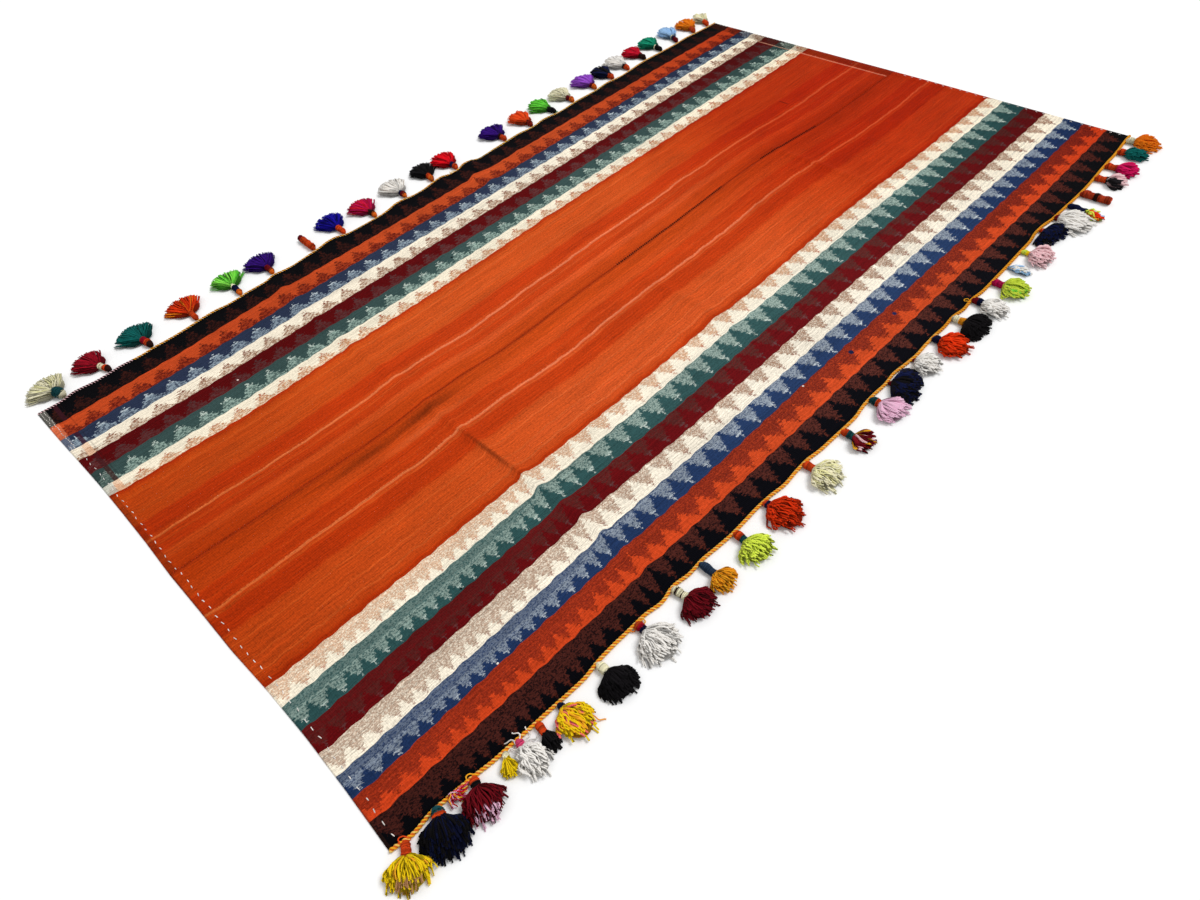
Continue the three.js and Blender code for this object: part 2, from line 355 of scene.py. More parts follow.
def band_lines(bands, lines, along):
    """Across-places of all the lines between bands, from the outer edge to the seam, at each along-place."""
    starts = [row["along"] for row in bands]
    inner = [np.interp(along, starts, [row[name] for row in bands]) for name in BAND_COLUMNS[1:]]
    for kink in KINKS:
        near = np.exp(-((along - kink["along"]) / kink["reach_along"]) ** 2)
        for k, line in enumerate(inner):
            share = np.exp(-((line - kink["across"]) / kink["reach_across"]) ** 2)
            inner[k] = line + kink["shift"] * near * share
    for k, line in enumerate(inner):
        waver = sum(part * np.sin(along / pace + shift * k) for part, pace, shift in WAVES)
        inner[k] = line + WAVER * waver
    return [lines["edge"](along), *inner, lines["seam"](along)]


# %% [markdown]
# ## The tree pattern's rhythm
# Each band but the field carries one figure over and over: a stepped fir tree that points to the right. The
# trees aren't of one length: they are long at the far end and crowd together towards the near end of the
# right strip. A short table gives how many trees have been woven by each place along. "footing" is the
# plain part of a band below the trees, as a share of its width.

# %% Tree counts
LEFT_TREES = table(["along", "trees", "footing"], [
    [-40, -1.2, 0.06], [40, 0, 0.06], [937, 14, 0.10], [1893, 29, 0.14], [2770, 42, 0.16],
    [2870, 43.5, 0.16],
])
RIGHT_TREES = table(["along", "trees", "footing"], [
    [-20, -1, 0.0], [50, 0, 0.0], [969, 14, 0.0], [1417, 21, 0.0], [2017, 31, 0.06], [2157, 34, 0.10],
    [2227, 36, 0.28], [2317, 38, 0.36], [2453, 42, 0.40], [2677, 49, 0.36], [2807, 52, 0.32],
    [2860, 53.2, 0.32],
])

# %% [markdown]
# The cloth isn't one shade from end to end. Its colours are painted deeper towards its ends, as painted shade
# where less light reaches them, and on the right strip the figures grow faint towards the near end. "depth"
# is the power that the colours are raised to for that painted shade, and "clear" is how much of a figure's
# own colour shows.

# %% Painted shade at the ends, and fading figures
END_SHADE_AND_FADE = ["along", "depth", "clear"]
LEFT_END_SHADE_AND_FADE = table(END_SHADE_AND_FADE, [
    [0, 1.36, 1.0], [600, 1.20, 1.0], [900, 1.14, 1.0], [1600, 1.15, 1.0], [2250, 1.20, 1.0],
    [2830, 1.20, 1.0],
])
RIGHT_END_SHADE_AND_FADE = table(END_SHADE_AND_FADE, [
    [0, 1.20, 1.0], [600, 1.05, 1.0], [900, 1.0, 1.0], [1600, 1.0, 0.95], [2250, 1.08, 0.80],
    [2830, 1.12, 0.72],
])


def rhythm(rows, value, along):
    """A column of such a table at each along-place."""
    return np.interp(along, [row["along"] for row in rows], [row[value] for row in rows])


# %% [markdown]
# ## The two strips as sheets
# A sheet starts as bmesh's own flat grid. Its columns are then drawn to the bands and its rows to the ends.
# The first and last rows go round the fold and back under the cloth, which makes the turned hem out of the
# same sheet. Two UV maps go with it: "design" counts bands and trees, as the weaver did, and "threads" is
# the place on the cloth in millimetres. Solidify then gives the weave its thickness.

# %% Make the strips
FOLD = table(["inset", "height"], [
    [HEM, 1], [HEM * 0.6, 1], [HEM * 0.2, 1], [0.4, 1.1], [0, 2], [0.4, 2.9], [HEM * 0.2, 3], [HEM * 0.6, 3],
    [HEM, 3], [HEM * 1.15, 2.4], [HEM * 1.35, 1.4], [HEM * 1.6, 1],
])


def loom_place(design, mirrored):
    """The distance in millimetres across the loom of a place counted in bands from the left."""
    figured = 7 * BAND_WIDTH
    bands = [0, 1, 8] if mirrored else [0, 7, 8]
    return np.interp(design, bands, [0, FIELD_WIDTH if mirrored else figured, FIELD_WIDTH + figured])


def make_sheet(name, lines, bands, trees, end_shade_and_fade, mirrored):
    """One woven strip, hems turned, as a grid on its middle surface."""
    shares = [(k, i / BAND_STEPS) for k in range(7) for i in range(BAND_STEPS)]
    shares += [(7, i / FIELD_COLUMNS) for i in range(FIELD_COLUMNS + 1)]
    band = np.array([k for k, share in shares])
    share = np.array([share for k, share in shares])
    inset = [row["inset"] for row in FOLD]
    level = [row["height"] for row in FOLD]
    spread = np.linspace(0, 1, ROWS)[1:-1]
    ahead = np.array([*inset, *[0] * len(spread), *[-i for i in reversed(inset)]])
    rise = np.array([*level, *[1] * len(spread), *reversed(level)])
    part = np.array([*[0] * len(inset), *spread, *[1] * len(inset)])
    count = len(inset)

    shape = bmesh.new()
    bmesh.ops.create_grid(shape, x_segments=len(band) - 1, y_segments=len(part) - 1, size=1)
    mesh = bpy.data.meshes.new(name)
    shape.to_mesh(mesh)
    shape.free()
    flat = np.zeros(len(mesh.vertices) * 3)
    mesh.vertices.foreach_get("co", flat)
    flat = flat.reshape(-1, 3)
    column = np.rint((flat[:, 0] + 1) / 2 * (len(band) - 1)).astype(int)
    row = np.rint((1 - flat[:, 1]) / 2 * (len(part) - 1)).astype(int)
    if mirrored:
        column = len(band) - 1 - column

    level_along = part[row] * LENGTH + ahead[row]
    for _ in range(2):
        edges = np.stack(band_lines(bands, lines, level_along))
        start = np.take_along_axis(edges, band[column][None], axis=0)[0]
        stop = np.take_along_axis(edges, band[column][None] + 1, axis=0)[0]
        across = start + (stop - start) * share[column]
        far, near = lines["far"](across), lines["near"](across)
        inner_far, inner_near = far + FOLD[-1]["inset"], near - FOLD[-1]["inset"]
        level_along = inner_far + (inner_near - inner_far) * part[row]
        level_along = np.where(row < count, far + ahead[row], level_along)
        level_along = np.where(row >= len(part) - count, near + ahead[row], level_along)
    lift = relief(across, level_along, lines)
    mesh.vertices.foreach_set("co", place(across, level_along, rise[row] + lift).ravel())

    design = band[column] + share[column]
    design = 8 - design if mirrored else design
    maps = {
        "design": np.stack([design, rhythm(trees, "trees", level_along)], axis=-1),
        "threads": np.stack([loom_place(design, mirrored), level_along], axis=-1),
    }
    corner = np.zeros(len(mesh.loops), dtype=int)
    mesh.loops.foreach_get("vertex_index", corner)
    for title, values in maps.items():
        mesh.uv_layers.new(name=title).uv.foreach_set("vector", values[corner].ravel())
    # Each point also carries the trees' footing, and the painted shade and the fading at the ends.
    for title, rows in (("footing", trees), ("depth", end_shade_and_fade), ("clear", end_shade_and_fade)):
        layer = mesh.attributes.new(title, "FLOAT", "POINT")
        layer.data.foreach_set("value", rhythm(rows, title, level_along))
    mesh.shade_smooth()
    return put(name, mesh)


cloth_left = make_sheet("cloth_left", LEFT, LEFT_BANDS, LEFT_TREES, LEFT_END_SHADE_AND_FADE, False)
cloth_right = make_sheet("cloth_right", RIGHT, RIGHT_BANDS, RIGHT_TREES, RIGHT_END_SHADE_AND_FADE, True)
for sheet in (cloth_left, cloth_right):
    thickness = sheet.modifiers.new("thickness", "SOLIDIFY")
    thickness.thickness = CLOTH * MM
    thickness.offset = 0
print("cloth grid:", len(cloth_left.data.polygons), "and", len(cloth_right.data.polygons), "squares")

# %% [markdown]
# ## Flat-woven wool
# The cloth is warp-faced wool: the dyed warp threads cover the weft, so every colour runs along the rug and
# the figures are made by picking which warp shows. That gives the finish its rules. A band is one ground
# colour and one figure colour, with a few threads of a third at the figure's tip. A tree's sides end thread
# by thread, so they are ragged, single picks of it stray, and one pass of the weft reaches further than the
# next. Inside a figure the other warp still shows as short dashes along the rug, and picks are missing, most
# of them near its base. The dye takes unevenly, so threads differ a little, fine lines run along the rug,
# and the shade drifts along the length. The stripes of the plain field fray at their edges.
#
# The tree is charted: its half width, as a share of one repeat, at each level from its base to its
# tip. On a broad base it has three bold tiers, which flare a little, and a tip. Below the trees a band has a
# plain foot, in the figure's dye at full strength or faded. On the left strip the ground makes the trees,
# and on the right strip the figure colour does.

# %% Charts of the weave
DYES = table(["band", "ground", "foot", "figure", "solid", "tip", "tip_cover"], [
    ["black", "06060c", 0.04, "5a2c24", 0.30, "602c20", 1.0],
    ["orange", "cc4a22", 0.26, "6c2018", 0.78, "4c1412", 0.45],
    ["blue", "253a60", 0.0, "9aa4ae", 0.30, "c6ced2", 1.0],
    ["cream", "f5ebd8", 0.01, "a07a62", 0.42, "864834", 1.0],
    ["maroon", "660e12", 0.0, "562c28", 0.40, "604444", 1.0],
    ["green", "325454", 0.0, "9eb0a6", 0.30, "c8d4ca", 1.0],
    ["cream", "f5ebd6", 0.01, "c8946e", 0.38, "b86c4c", 1.0],
    ["field", "c44a1a", 0.0, "c44a1a", 1.0, "c44a1a", 1.0],
])
LEFT_DYES = [{**row, "foot": 0.0} for row in DYES]         # the left strip's dyes differ a little
LEFT_DYES[0].update(figure="42201a", tip="4a241c")
LEFT_DYES[1].update(ground="c4562c", solid=0.55)
LEFT_DYES[2].update(ground="374159", figure="9aa8b2", tip="c6d0d4")
LEFT_DYES[4]["figure"] = "684040"
LEFT_DYES[5].update(ground="465c5a", figure="a0b4aa", tip="c6d2c8")
TREE = table(["level", "left", "right"], [
    [0.00, 0.68, 0.54], [0.05, 0.60, 0.49], [0.07, 0.47, 0.43], [0.25, 0.50, 0.47], [0.27, 0.34, 0.31],
    [0.47, 0.37, 0.35], [0.49, 0.22, 0.19], [0.69, 0.25, 0.23], [0.71, 0.11, 0.08], [0.90, 0.12, 0.09],
    [0.92, 0.00, 0.00],
])
RAGGED = 0.10             # how far a tree's side steps in and out from thread to thread, in repeats
SPECKLE = 0.12            # and how far single picks of it stray
TICKS = 0.07              # how far one pass of the weft reaches past another at its edge, in levels
LEFT_CELL = (3.8, 5.5)    # width and length of a single pick: larger than a real one, so that it shows
RIGHT_CELL = (2.3, 3.2)
LEAST_FOOT = 0.005        # a band with a smaller foot than this in the table has a faded one:
FADED = 0.45              # this share of the figure's dye is missing there
BROADER = 0.6             # how much broader the trees are where they stand on a foot, for each share of it
TIP = 0.64                # level of the tree above which its tip's own dye shows
FIELD_DYE = "cc4c1a"
EVEN = 0.25               # how far the field's stripes keep to its own dye
SWAY = 0.045              # how far the field's stripes wander, as a share of the field
FRAYED = 0.14             # and how far their edges stray from thread to thread
STRIPE = ["share", "color"]
LEFT_FIELD = table(STRIPE, [
    [0.0, "ac2c04"], [0.02, "b83408"], [0.05, "c64d18"], [0.095, "cc551e"], [0.115, "d6602a"],
    [0.135, "ca511c"], [0.27, "cc5520"], [0.30, "d05b26"], [0.33, "c8511c"], [0.40, "ca521e"],
    [0.43, "c0380c"], [0.56, "be360a"], [0.585, "cc4a1a"], [0.60, "c8461a"], [0.610, "ee8a60"],
    [0.622, "ea8054"], [0.632, "c44214"], [0.68, "c64416"], [0.69, "d25826"], [0.70, "c23e10"],
    [0.765, "c03c10"], [0.79, "d05424"], [0.84, "d25626"], [0.87, "c24614"], [0.95, "bc420e"],
    [1.0, "b43c0e"],
])
RIGHT_FIELD = table(STRIPE, [
    [0.0, "b03a0c"], [0.03, "ba420e"], [0.11, "bc4410"], [0.135, "c84c1a"], [0.21, "ca4e1c"],
    [0.235, "c03a0c"], [0.29, "c23c0e"], [0.30, "cc4a1a"], [0.31, "c03a0c"], [0.378, "c23e10"],
    [0.386, "ee8a60"], [0.397, "ea8054"], [0.407, "c64416"], [0.425, "d25a28"], [0.438, "be380c"],
    [0.50, "b83408"], [0.57, "ba360a"], [0.60, "cc5220"], [0.665, "d05624"], [0.672, "da6632"],
    [0.68, "ce5422"], [0.80, "ce5422"], [0.808, "da6632"], [0.816, "d05626"], [0.895, "d25826"],
    [0.905, "dc6a38"], [0.915, "cc5020"], [0.955, "c84a1a"], [0.975, "b03004"], [1.0, "a82a04"],
])
ABRASH = table(["along", "color"], [
    [0, "d89a80"], [280, "dc9e80"], [580, "e2a888"], [760, "f0ccb0"], [1100, "fffafa"], [1900, "ffffff"],
    [2250, "f4eacc"], [2830, "dcc48c"],
])
GRAINS = table(["grain", "wide", "long", "detail"], [
    ["streaks", 5.5, 380, 3.0],
    ["dashes", 2.4, 5.5, 1.5],
    ["flecks", 3.6, 6, 1.0],
    ["clouds", 90, 240, 3.0],
    ["lines", 2.6, 70, 1.0],
])
DARKEST = -0.08           # the shade where every grain is at nothing, and how much each grain adds to it:
STREAKED, CLOUDED, FLECKED, LINED = 0.56, 0.30, 0.70, 0.62
THREAD = 3.4              # width of one drawn warp thread: coarser than a real one, so that it shows
PICK = 4.4                # spacing of the drawn weft ribs: coarser too
# Specks and one short dark line. The long dark smears beside the seam and in the highest crease are
# painted shade, and the pale smear beside them is a painted highlight on the lit side of a ridge.
SPOT = ["across", "along", "wide", "long", "color", "cover", "core"]     # core: share that is full colour
LEFT_SPECKS_AND_PAINTED_SHADE = table(SPOT, [
    [642, 385, 46, 5, "5a1404", 1.0, 0.8], [383, 1689, 9, 8, "101418", 1.0, 0.8],
    [336, 2405, 7, 6, "f0dcd4", 1.0, 0.8], [790, 700, 26, 420, "7a1802", 0.3, 0.1],
])
RIGHT_SPECKS_AND_PAINTED_LIGHT = table(SPOT, [
    [1552, 1141, 12, 12, "1c2850", 1.0, 0.8], [1549, 1330, 14, 15, "182040", 1.0, 0.8],
    [1525, 2483, 6, 6, "f4ece0", 1.0, 0.8], [1335, 2422, 8, 6, "0c1a1a", 1.0, 0.8],
    [1528, 1500, 5, 6, "f0e8e0", 1.0, 0.8], [851, 2150, 46, 260, "561c04", 0.65, 0.15],
    [860, 2340, 44, 300, "5c1e04", 0.55, 0.15], [898, 2180, 30, 330, "e8703c", 0.3, 0.2],
    [1090, 2134, 250, 17, "5a2008", 0.62, 0.2],
])

# %% [markdown]
# The turned ends show other colours: each is a patch that ends where a band ends. Two tables list them, with
# the bands and the stretch of the length that each patch covers and how much of it shows.

# %% Patches at the ends
PATCH = ["from_band", "to_band", "from_along", "to_along", "color", "cover"]
LEFT_PATCHES = table(PATCH, [
    [0, 8, -30, 29, "3a1408", 0.42],
    [4, 8, 33, 39, "e8a888", 0.38],
    [0, 1, 2789, 2801, "34121a", 0.9],
    [2, 3, 2789, 2801, "381628", 0.9],
    [3, 4, 2788, 2806, "e8b48c", 0.6],
    [4, 5, 2787, 2799, "3a1418", 0.6],
    [5, 6, 2787, 2799, "3a2220", 0.9],
    [5, 6, 2799, 2850, "2c3c3a", 0.6],
    [6, 7, 2787, 2804, "e2ae88", 0.6],
    [6, 7, 2806, 2850, "a8b0aa", 0.6],
    [0, 6, 2780, 2783, "1c0c0c", 0.3],
    [0, 1, 2819, 2850, "a8a69c", 0.25],
    [1, 2, 2814, 2850, "e88058", 0.5],
    [2, 3, 2816, 2850, "98a0b4", 0.3],
    [7, 8, 2816, 2860, "4a1604", 0.35],
])
RIGHT_PATCHES = table(PATCH, [[1, 8, -30, 3, "2c1812", 0.3], [0, 8, 2829, 2860, "2c1812", 0.4]])

# %% Weave material


def grain(add, threads, wide, long, detail):
    """Noise whose grains are about this many millimetres wide and long."""
    spot = add("VectorMath MULTIPLY", threads, (1 / wide, 1 / long, 1))
    return add("TexNoise", {"Vector": spot, "Scale": 1.0, "Detail": detail}, noise_dimensions="2D")


def woven_wool(name, bands, trees_are_ground, cell, gaps, field, spots, patches):
    """Warp-faced wool cloth with the bands given from the left.

    A cell is the size of a pick, and gaps is the share of a figure's picks that are left out.
    """
    made, add = new_material(name)
    band = add("SeparateXYZ", add("UVMap", uv_map="design"))
    count = band.node.outputs["Y"]
    threads = add("UVMap", uv_map="threads")
    across = add("SeparateXYZ", threads)
    along = across.node.outputs["Y"]
    footing = add("Attribute", attribute_name="footing").node.outputs["Fac"]
    grains = [grain(add, threads, row["wide"], row["long"], row["detail"]) for row in GRAINS]
    streaks, dashes, flecks, clouds, lines = grains
    wobble = add("Math MULTIPLY", add("Math SUBTRACT", flecks, 0.5), 0.10)

    # Dyes by band: the ground, the figure, and the figure's tip, which in one band is only flecks.
    dyes = []
    for part, extra in (("ground", "foot"), ("figure", "solid"), ("tip", "tip_cover")):
        stops = [(k / 8, linear(row[part])[:3] + [row[extra]]) for k, row in enumerate(bands)]
        dyes.append(add("ValToRGB", add("Math DIVIDE", band, 8.0), stops=stops, blend="CONSTANT"))
    ground, body, tip = dyes
    foot = ground.node.outputs["Alpha"]
    footing = add("Math MAXIMUM", footing, foot)

    # The tree: how far a thread is from the middle of its repeat, against the chart's half width there.
    thread = add("Math FLOOR", add("Math DIVIDE", across, THREAD))
    side = add("Math FLOOR", add("Math MULTIPLY", count, 2.0))
    ragged = add("TexWhiteNoise", add("CombineXYZ", thread, side, 3.0), noise_dimensions="3D")
    level = add("Math SUBTRACT", add("Math FRACT", band), footing)
    level = add("Math DIVIDE", level, add("Math SUBTRACT", 1.0, footing))
    chart = [(row["level"], [row["left" if trees_are_ground else "right"]] * 3 + [1.0]) for row in TREE]
    picks = add("VectorMath FLOOR", add("VectorMath DIVIDE", threads, (*cell, 1)))
    passes = add("CombineXYZ", add("SeparateXYZ", picks).node.outputs["Y"], add("Math FLOOR", band), 7.0)
    passes = add("TexWhiteNoise", passes, noise_dimensions="3D")
    reach = add("Math MULTIPLY_ADD", add("Math SUBTRACT", passes, 0.5), TICKS, wobble)
    half_width = add("ValToRGB", add("Math ADD", level, reach), stops=chart)
    half_width = add("Math MULTIPLY", half_width, add("Math MULTIPLY_ADD", footing, BROADER, 1.0))
    middle = add("Math SUBTRACT", add("Math FRACT", add("Math ADD", count, 0.5)), 0.5)
    middle = add("Math MULTIPLY_ADD", ragged, RAGGED, add("Math ABSOLUTE", middle))
    speckle = add("TexWhiteNoise", picks, noise_dimensions="2D")
    middle = add("Math MULTIPLY_ADD", add("Math SUBTRACT", speckle, 0.5), SPECKLE, middle)
    inside = add("Math LESS_THAN", middle, half_width)
    figure = add("Math SUBTRACT", 1.0, inside) if trees_are_ground else inside

    # Colours: the figure over the ground, its upper part in the tip's dye, and its picks not all there.
    height = add("Math SUBTRACT", 1.0, level) if trees_are_ground else level
    solid = body.node.outputs["Alpha"]
    upper = add("Math GREATER_THAN", add("Math ADD", height, wobble), TIP)
    body = add("Mix", upper, body, tip, data_type="RGBA")
    missing = add("MapRange", height, 0.1, 0.9, gaps * 1.3, gaps * 0.7)
    cover = add("MapRange", add("Math SUBTRACT", speckle, missing), -0.03, 0.03, solid, 1.0)
    cover = add("Math MULTIPLY", cover, add("MapRange", dashes, 0.40, 0.55, 0.7, 1.0))
    fleck = add("MapRange", flecks, 0.44, 0.52, tip.node.outputs["Alpha"], 1.0)
    high = add("Math GREATER_THAN", height, 0.48)
    cover = add("Math MULTIPLY", cover, add("MapRange", {"Value": high, "To Min": 1.0, "To Max": fleck}))
    below = add("Math LESS_THAN", level, 0.0)
    faded = add("Math MULTIPLY", below, add("Math LESS_THAN", foot, LEAST_FOOT))
    cover = add("Math MULTIPLY", cover, add("Math MULTIPLY_ADD", faded, -FADED, 1.0))
    cover = add("Math MULTIPLY", cover, add("Attribute", attribute_name="clear").node.outputs["Fac"])
    color = add("Mix", add("Math MULTIPLY", figure, cover), ground, body, data_type="RGBA")
    # Painted shade: the colours are deepened towards the ends of the rug.
    color = add("Gamma", color, add("Attribute", attribute_name="depth").node.outputs["Fac"])

    # The plain field, dyed in stripes, with its shade drifting along the rug.
    start = [row["band"] for row in bands].index("field")
    sway = add("Math MULTIPLY", add("Math SUBTRACT", grain(add, threads, 400, 130, 2.0), 0.5), SWAY)
    place_in_field = add("Math ADD", add("Math SUBTRACT", band, float(start)), sway)
    place_in_field = add("Math MULTIPLY_ADD", wobble, FRAYED, place_in_field)
    stripes = add("ValToRGB", place_in_field, stops=[(row["share"], linear(row["color"])) for row in field])
    stripes = add("Mix", EVEN, stripes, linear(FIELD_DYE), data_type="RGBA")
    drift = add("ValToRGB", add("Math DIVIDE", along, float(LENGTH)),
                stops=[(row["along"] / LENGTH, linear(row["color"])) for row in ABRASH])
    plain_field = add("Mix", 1.0, stripes, drift, data_type="RGBA", blend_type="MULTIPLY")
    in_field = add("Math COMPARE", band, start + 0.5, 0.5)
    color = add("Mix", in_field, color, plain_field, data_type="RGBA")

    # Other colours in patches at the ends, then the specks, and the smears of painted shade and painted
    # highlight.
    for patch in patches:
        middle_band = (patch["from_band"] + patch["to_band"]) / 2
        in_band = add("Math COMPARE", band, middle_band, (patch["to_band"] - patch["from_band"]) / 2)
        middle_along = (patch["from_along"] + patch["to_along"]) / 2
        shaken = add("Math MULTIPLY_ADD", wobble, 40.0, along)
        in_stretch = add("Math COMPARE", shaken, middle_along, patch["to_along"] - middle_along)
        share = add("Math MULTIPLY", add("Math MULTIPLY", in_band, in_stretch), patch["cover"])
        color = add("Mix", share, color, linear(patch["color"]), data_type="RGBA")
    for spot in spots:
        away = add("VectorMath SUBTRACT", threads, (spot["loom"], spot["along"], 0))
        away = add("VectorMath DIVIDE", away, (spot["wide"] / 2, spot["long"] / 2, 1))
        far = add("VectorMath LENGTH", away).node.outputs["Value"]
        far = add("Math MULTIPLY_ADD", wobble, 1.5, far)
        near = add("MapRange", far, 1.0, spot["core"], 0.0, spot["cover"])
        color = add("Mix", near, color, linear(spot["color"]), data_type="RGBA")

    # Uneven dye: by thread, by patch, and in the grain of the wool itself.
    shade = DARKEST
    for noise, weight in ((streaks, STREAKED), (clouds, CLOUDED), (flecks, FLECKED), (lines, LINED)):
        shade = add("Math MULTIPLY_ADD", noise, weight, shade)
    color = add("Mix", 1.0, color, add("CombineXYZ", shade, shade, shade), data_type="RGBA",
                blend_type="MULTIPLY")

    # Ribs of the weft under the warp, and the warp threads themselves.
    ribs = add("Math SINE", add("Math MULTIPLY", along, 2 * math.pi / PICK))
    warps = add("Math SINE", add("Math MULTIPLY", across, 2 * math.pi / THREAD))
    rise = add("Math ADD", add("Math MULTIPLY", ribs, 0.32), add("Math MULTIPLY", warps, 0.25))
    rise = add("Math MULTIPLY_ADD", flecks, 1.3, rise)
    rise = add("Math MULTIPLY_ADD", figure, 0.35, rise)
    bump = add("Bump", {"Strength": 0.7, "Distance": 0.0009, "Height": rise})
    wool = add("BsdfPrincipled", {"Base Color": color, "Roughness": 0.95, "Specular IOR Level": 0.05,
                                  "Normal": bump})
    add("OutputMaterial", wool)
    return made


def on_loom(spots, bands, lines, mirrored):
    """Adds to each spot its place across the loom."""
    for spot in spots:
        edges = np.array(band_lines(bands, lines, np.array(float(spot["along"]))))
        counts = 8 - np.arange(9) if mirrored else np.arange(9)
        order = edges.argsort()
        spot["loom"] = float(loom_place(np.interp(spot["across"], edges[order], counts[order]), mirrored))
    return spots


left_specks_and_painted_shade = on_loom(LEFT_SPECKS_AND_PAINTED_SHADE, LEFT_BANDS, LEFT, False)
right_specks_and_painted_light = on_loom(RIGHT_SPECKS_AND_PAINTED_LIGHT, RIGHT_BANDS, RIGHT, True)
left_wool = woven_wool("flatwoven_wool_left", LEFT_DYES, True, LEFT_CELL, 0.42, LEFT_FIELD, left_specks_and_painted_shade,
                       LEFT_PATCHES)
right_wool = woven_wool("flatwoven_wool_right", DYES[::-1], False, RIGHT_CELL, 0.24, RIGHT_FIELD, right_specks_and_painted_light,
                        RIGHT_PATCHES)
for sheet, wool, panel in ((cloth_left, left_wool, "panel_left"), (cloth_right, right_wool, "panel_right")):
    sheet.data.materials.append(wool)
    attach(sheet, "root")
    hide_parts(panel)
print("weave nodes:", len(left_wool.node_tree.nodes))

# %% [markdown]
# ## Yarn
# Stitches, cords, wound necks and loose strands are all lengths of yarn, hundreds of them. One straight yarn
# is shaped once: a bmesh grid rolled up into a tube and closed at its ends. It is then laid along any number
# of lines at a time, each with its own thickness, and a piece's yarns are joined in one mesh. Three
# attributes go with every yarn: "strand" is a random number for its dye, or a given one that in a tassel also
# carries painted shade, "share" runs from 0 at a tassel's root to 1 at its tip, and "run" is the length along
# it in millimetres, for its twist.

# %% Lay yarns along lines


@functools.lru_cache(maxsize=None)
def straight_yarn(steps, sides):
    """A closed tube: for each corner its ring, and its cosine and sine round the ring; and the faces."""
    shape = bmesh.new()
    bmesh.ops.create_grid(shape, x_segments=steps, y_segments=sides, size=1)
    for vert in shape.verts:
        angle = vert.co.y * math.pi
        vert.co = ((vert.co.x + 1) / 2 * steps, math.cos(angle), math.sin(angle))
    bmesh.ops.remove_doubles(shape, verts=shape.verts, dist=0.001)
    bmesh.ops.holes_fill(shape, edges=shape.edges, sides=sides)
    bmesh.ops.recalc_face_normals(shape, faces=shape.faces)
    shape.verts.index_update()
    corners = np.array([vert.co for vert in shape.verts])
    faces = [[vert.index for vert in face.verts] for face in shape.faces]
    shape.free()
    return np.rint(corners[:, 0]).astype(int), corners[:, 1], corners[:, 2], faces


class Yarns:
    """Collects the yarns of one piece. Lines are in millimetres in the row frame."""

    def __init__(self, name, seed=0):
        self.name = name
        self.chance = np.random.default_rng(seed)
        self.points, self.strand, self.share, self.run = [], [], [], []
        self.faces, self.paint, self.materials, self.total = [], [], [], 0

    def lay(self, lines, radius, material, sides=4, rooted=False, strand=None, press=None):
        """Lays one yarn along each line; the lines all have the same number of points.

        Rooted yarns start deep in a tassel. Strand holds numbers for the dye and painted shade that aren't
        left to chance, and press is a function that flattens heights.
        """
        lines = np.asarray(lines, dtype=float)
        count, rings = lines.shape[:2]
        ring, cosine, sine, faces = straight_yarn(rings - 1, sides)
        ahead = np.gradient(lines, axis=1)
        ahead /= np.linalg.norm(ahead, axis=2, keepdims=True) + 1e-9
        aside = np.cross(ahead, (0.05, 0.03, 1.0))
        aside /= np.linalg.norm(aside, axis=2, keepdims=True) + 1e-9
        over = np.cross(aside, ahead)
        radius = np.broadcast_to(np.asarray(radius, dtype=float), (count, rings))[:, ring, None]
        points = lines[:, ring] + radius * (cosine[:, None] * aside[:, ring] + sine[:, None] * over[:, ring])
        if press:
            points[..., 2] = press(points[..., 2])
        step = np.linalg.norm(np.diff(lines, axis=1), axis=2)
        run = np.concatenate([np.zeros((count, 1)), np.cumsum(step, axis=1)], axis=1)
        self.points.append(points.reshape(-1, 3))
        self.run.append(run[:, ring].ravel())
        self.share.append(np.tile(ring / (rings - 1) if rooted else np.ones(len(ring)), count))
        lots = self.chance.random(count) if strand is None else np.broadcast_to(strand, count)
        self.strand.append(np.repeat(lots, len(ring)))
        if material not in self.materials:
            self.materials.append(material)
        corners = len(ring)
        for i in range(count):
            start = self.total + i * corners
            self.faces += [[start + corner for corner in face] for face in faces]
        self.paint += [self.materials.index(material)] * (len(faces) * count)
        self.total += count * corners

    def finish(self, slot, *nodes):
        """Joins the yarns in one mesh, which rides on the rug and stands for the nodes."""
        mesh = bpy.data.meshes.new(self.name)
        mesh.from_pydata(np.concatenate(self.points) * MM, [], self.faces)
        for material in self.materials:
            mesh.materials.append(material)
        mesh.polygons.foreach_set("material_index", self.paint)
        for title in ("strand", "share", "run"):
            layer = mesh.attributes.new(title, "FLOAT", "POINT")
            layer.data.foreach_set("value", np.concatenate(getattr(self, title)))
        mesh.shade_smooth()
        piece = put(self.name, mesh)
        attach(piece, "root")
        if nodes:
            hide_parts(*nodes)
        return piece


# %% [markdown]
# ## Dyed yarn
# The tassels and cords are spun wool in strong dyes. A strand of spun wool is matt, takes its dye a little
# unevenly, and shows the twist of its spinning as small slanting ridges. Deep in a tassel, where it is bound,
# it is painted darker, as painted shade. A fuzz of loose fibres scatters some light. Every yarn colour below
# is the same recipe with another dye. Two tassels end in another colour, so the recipe can also dye the tips.

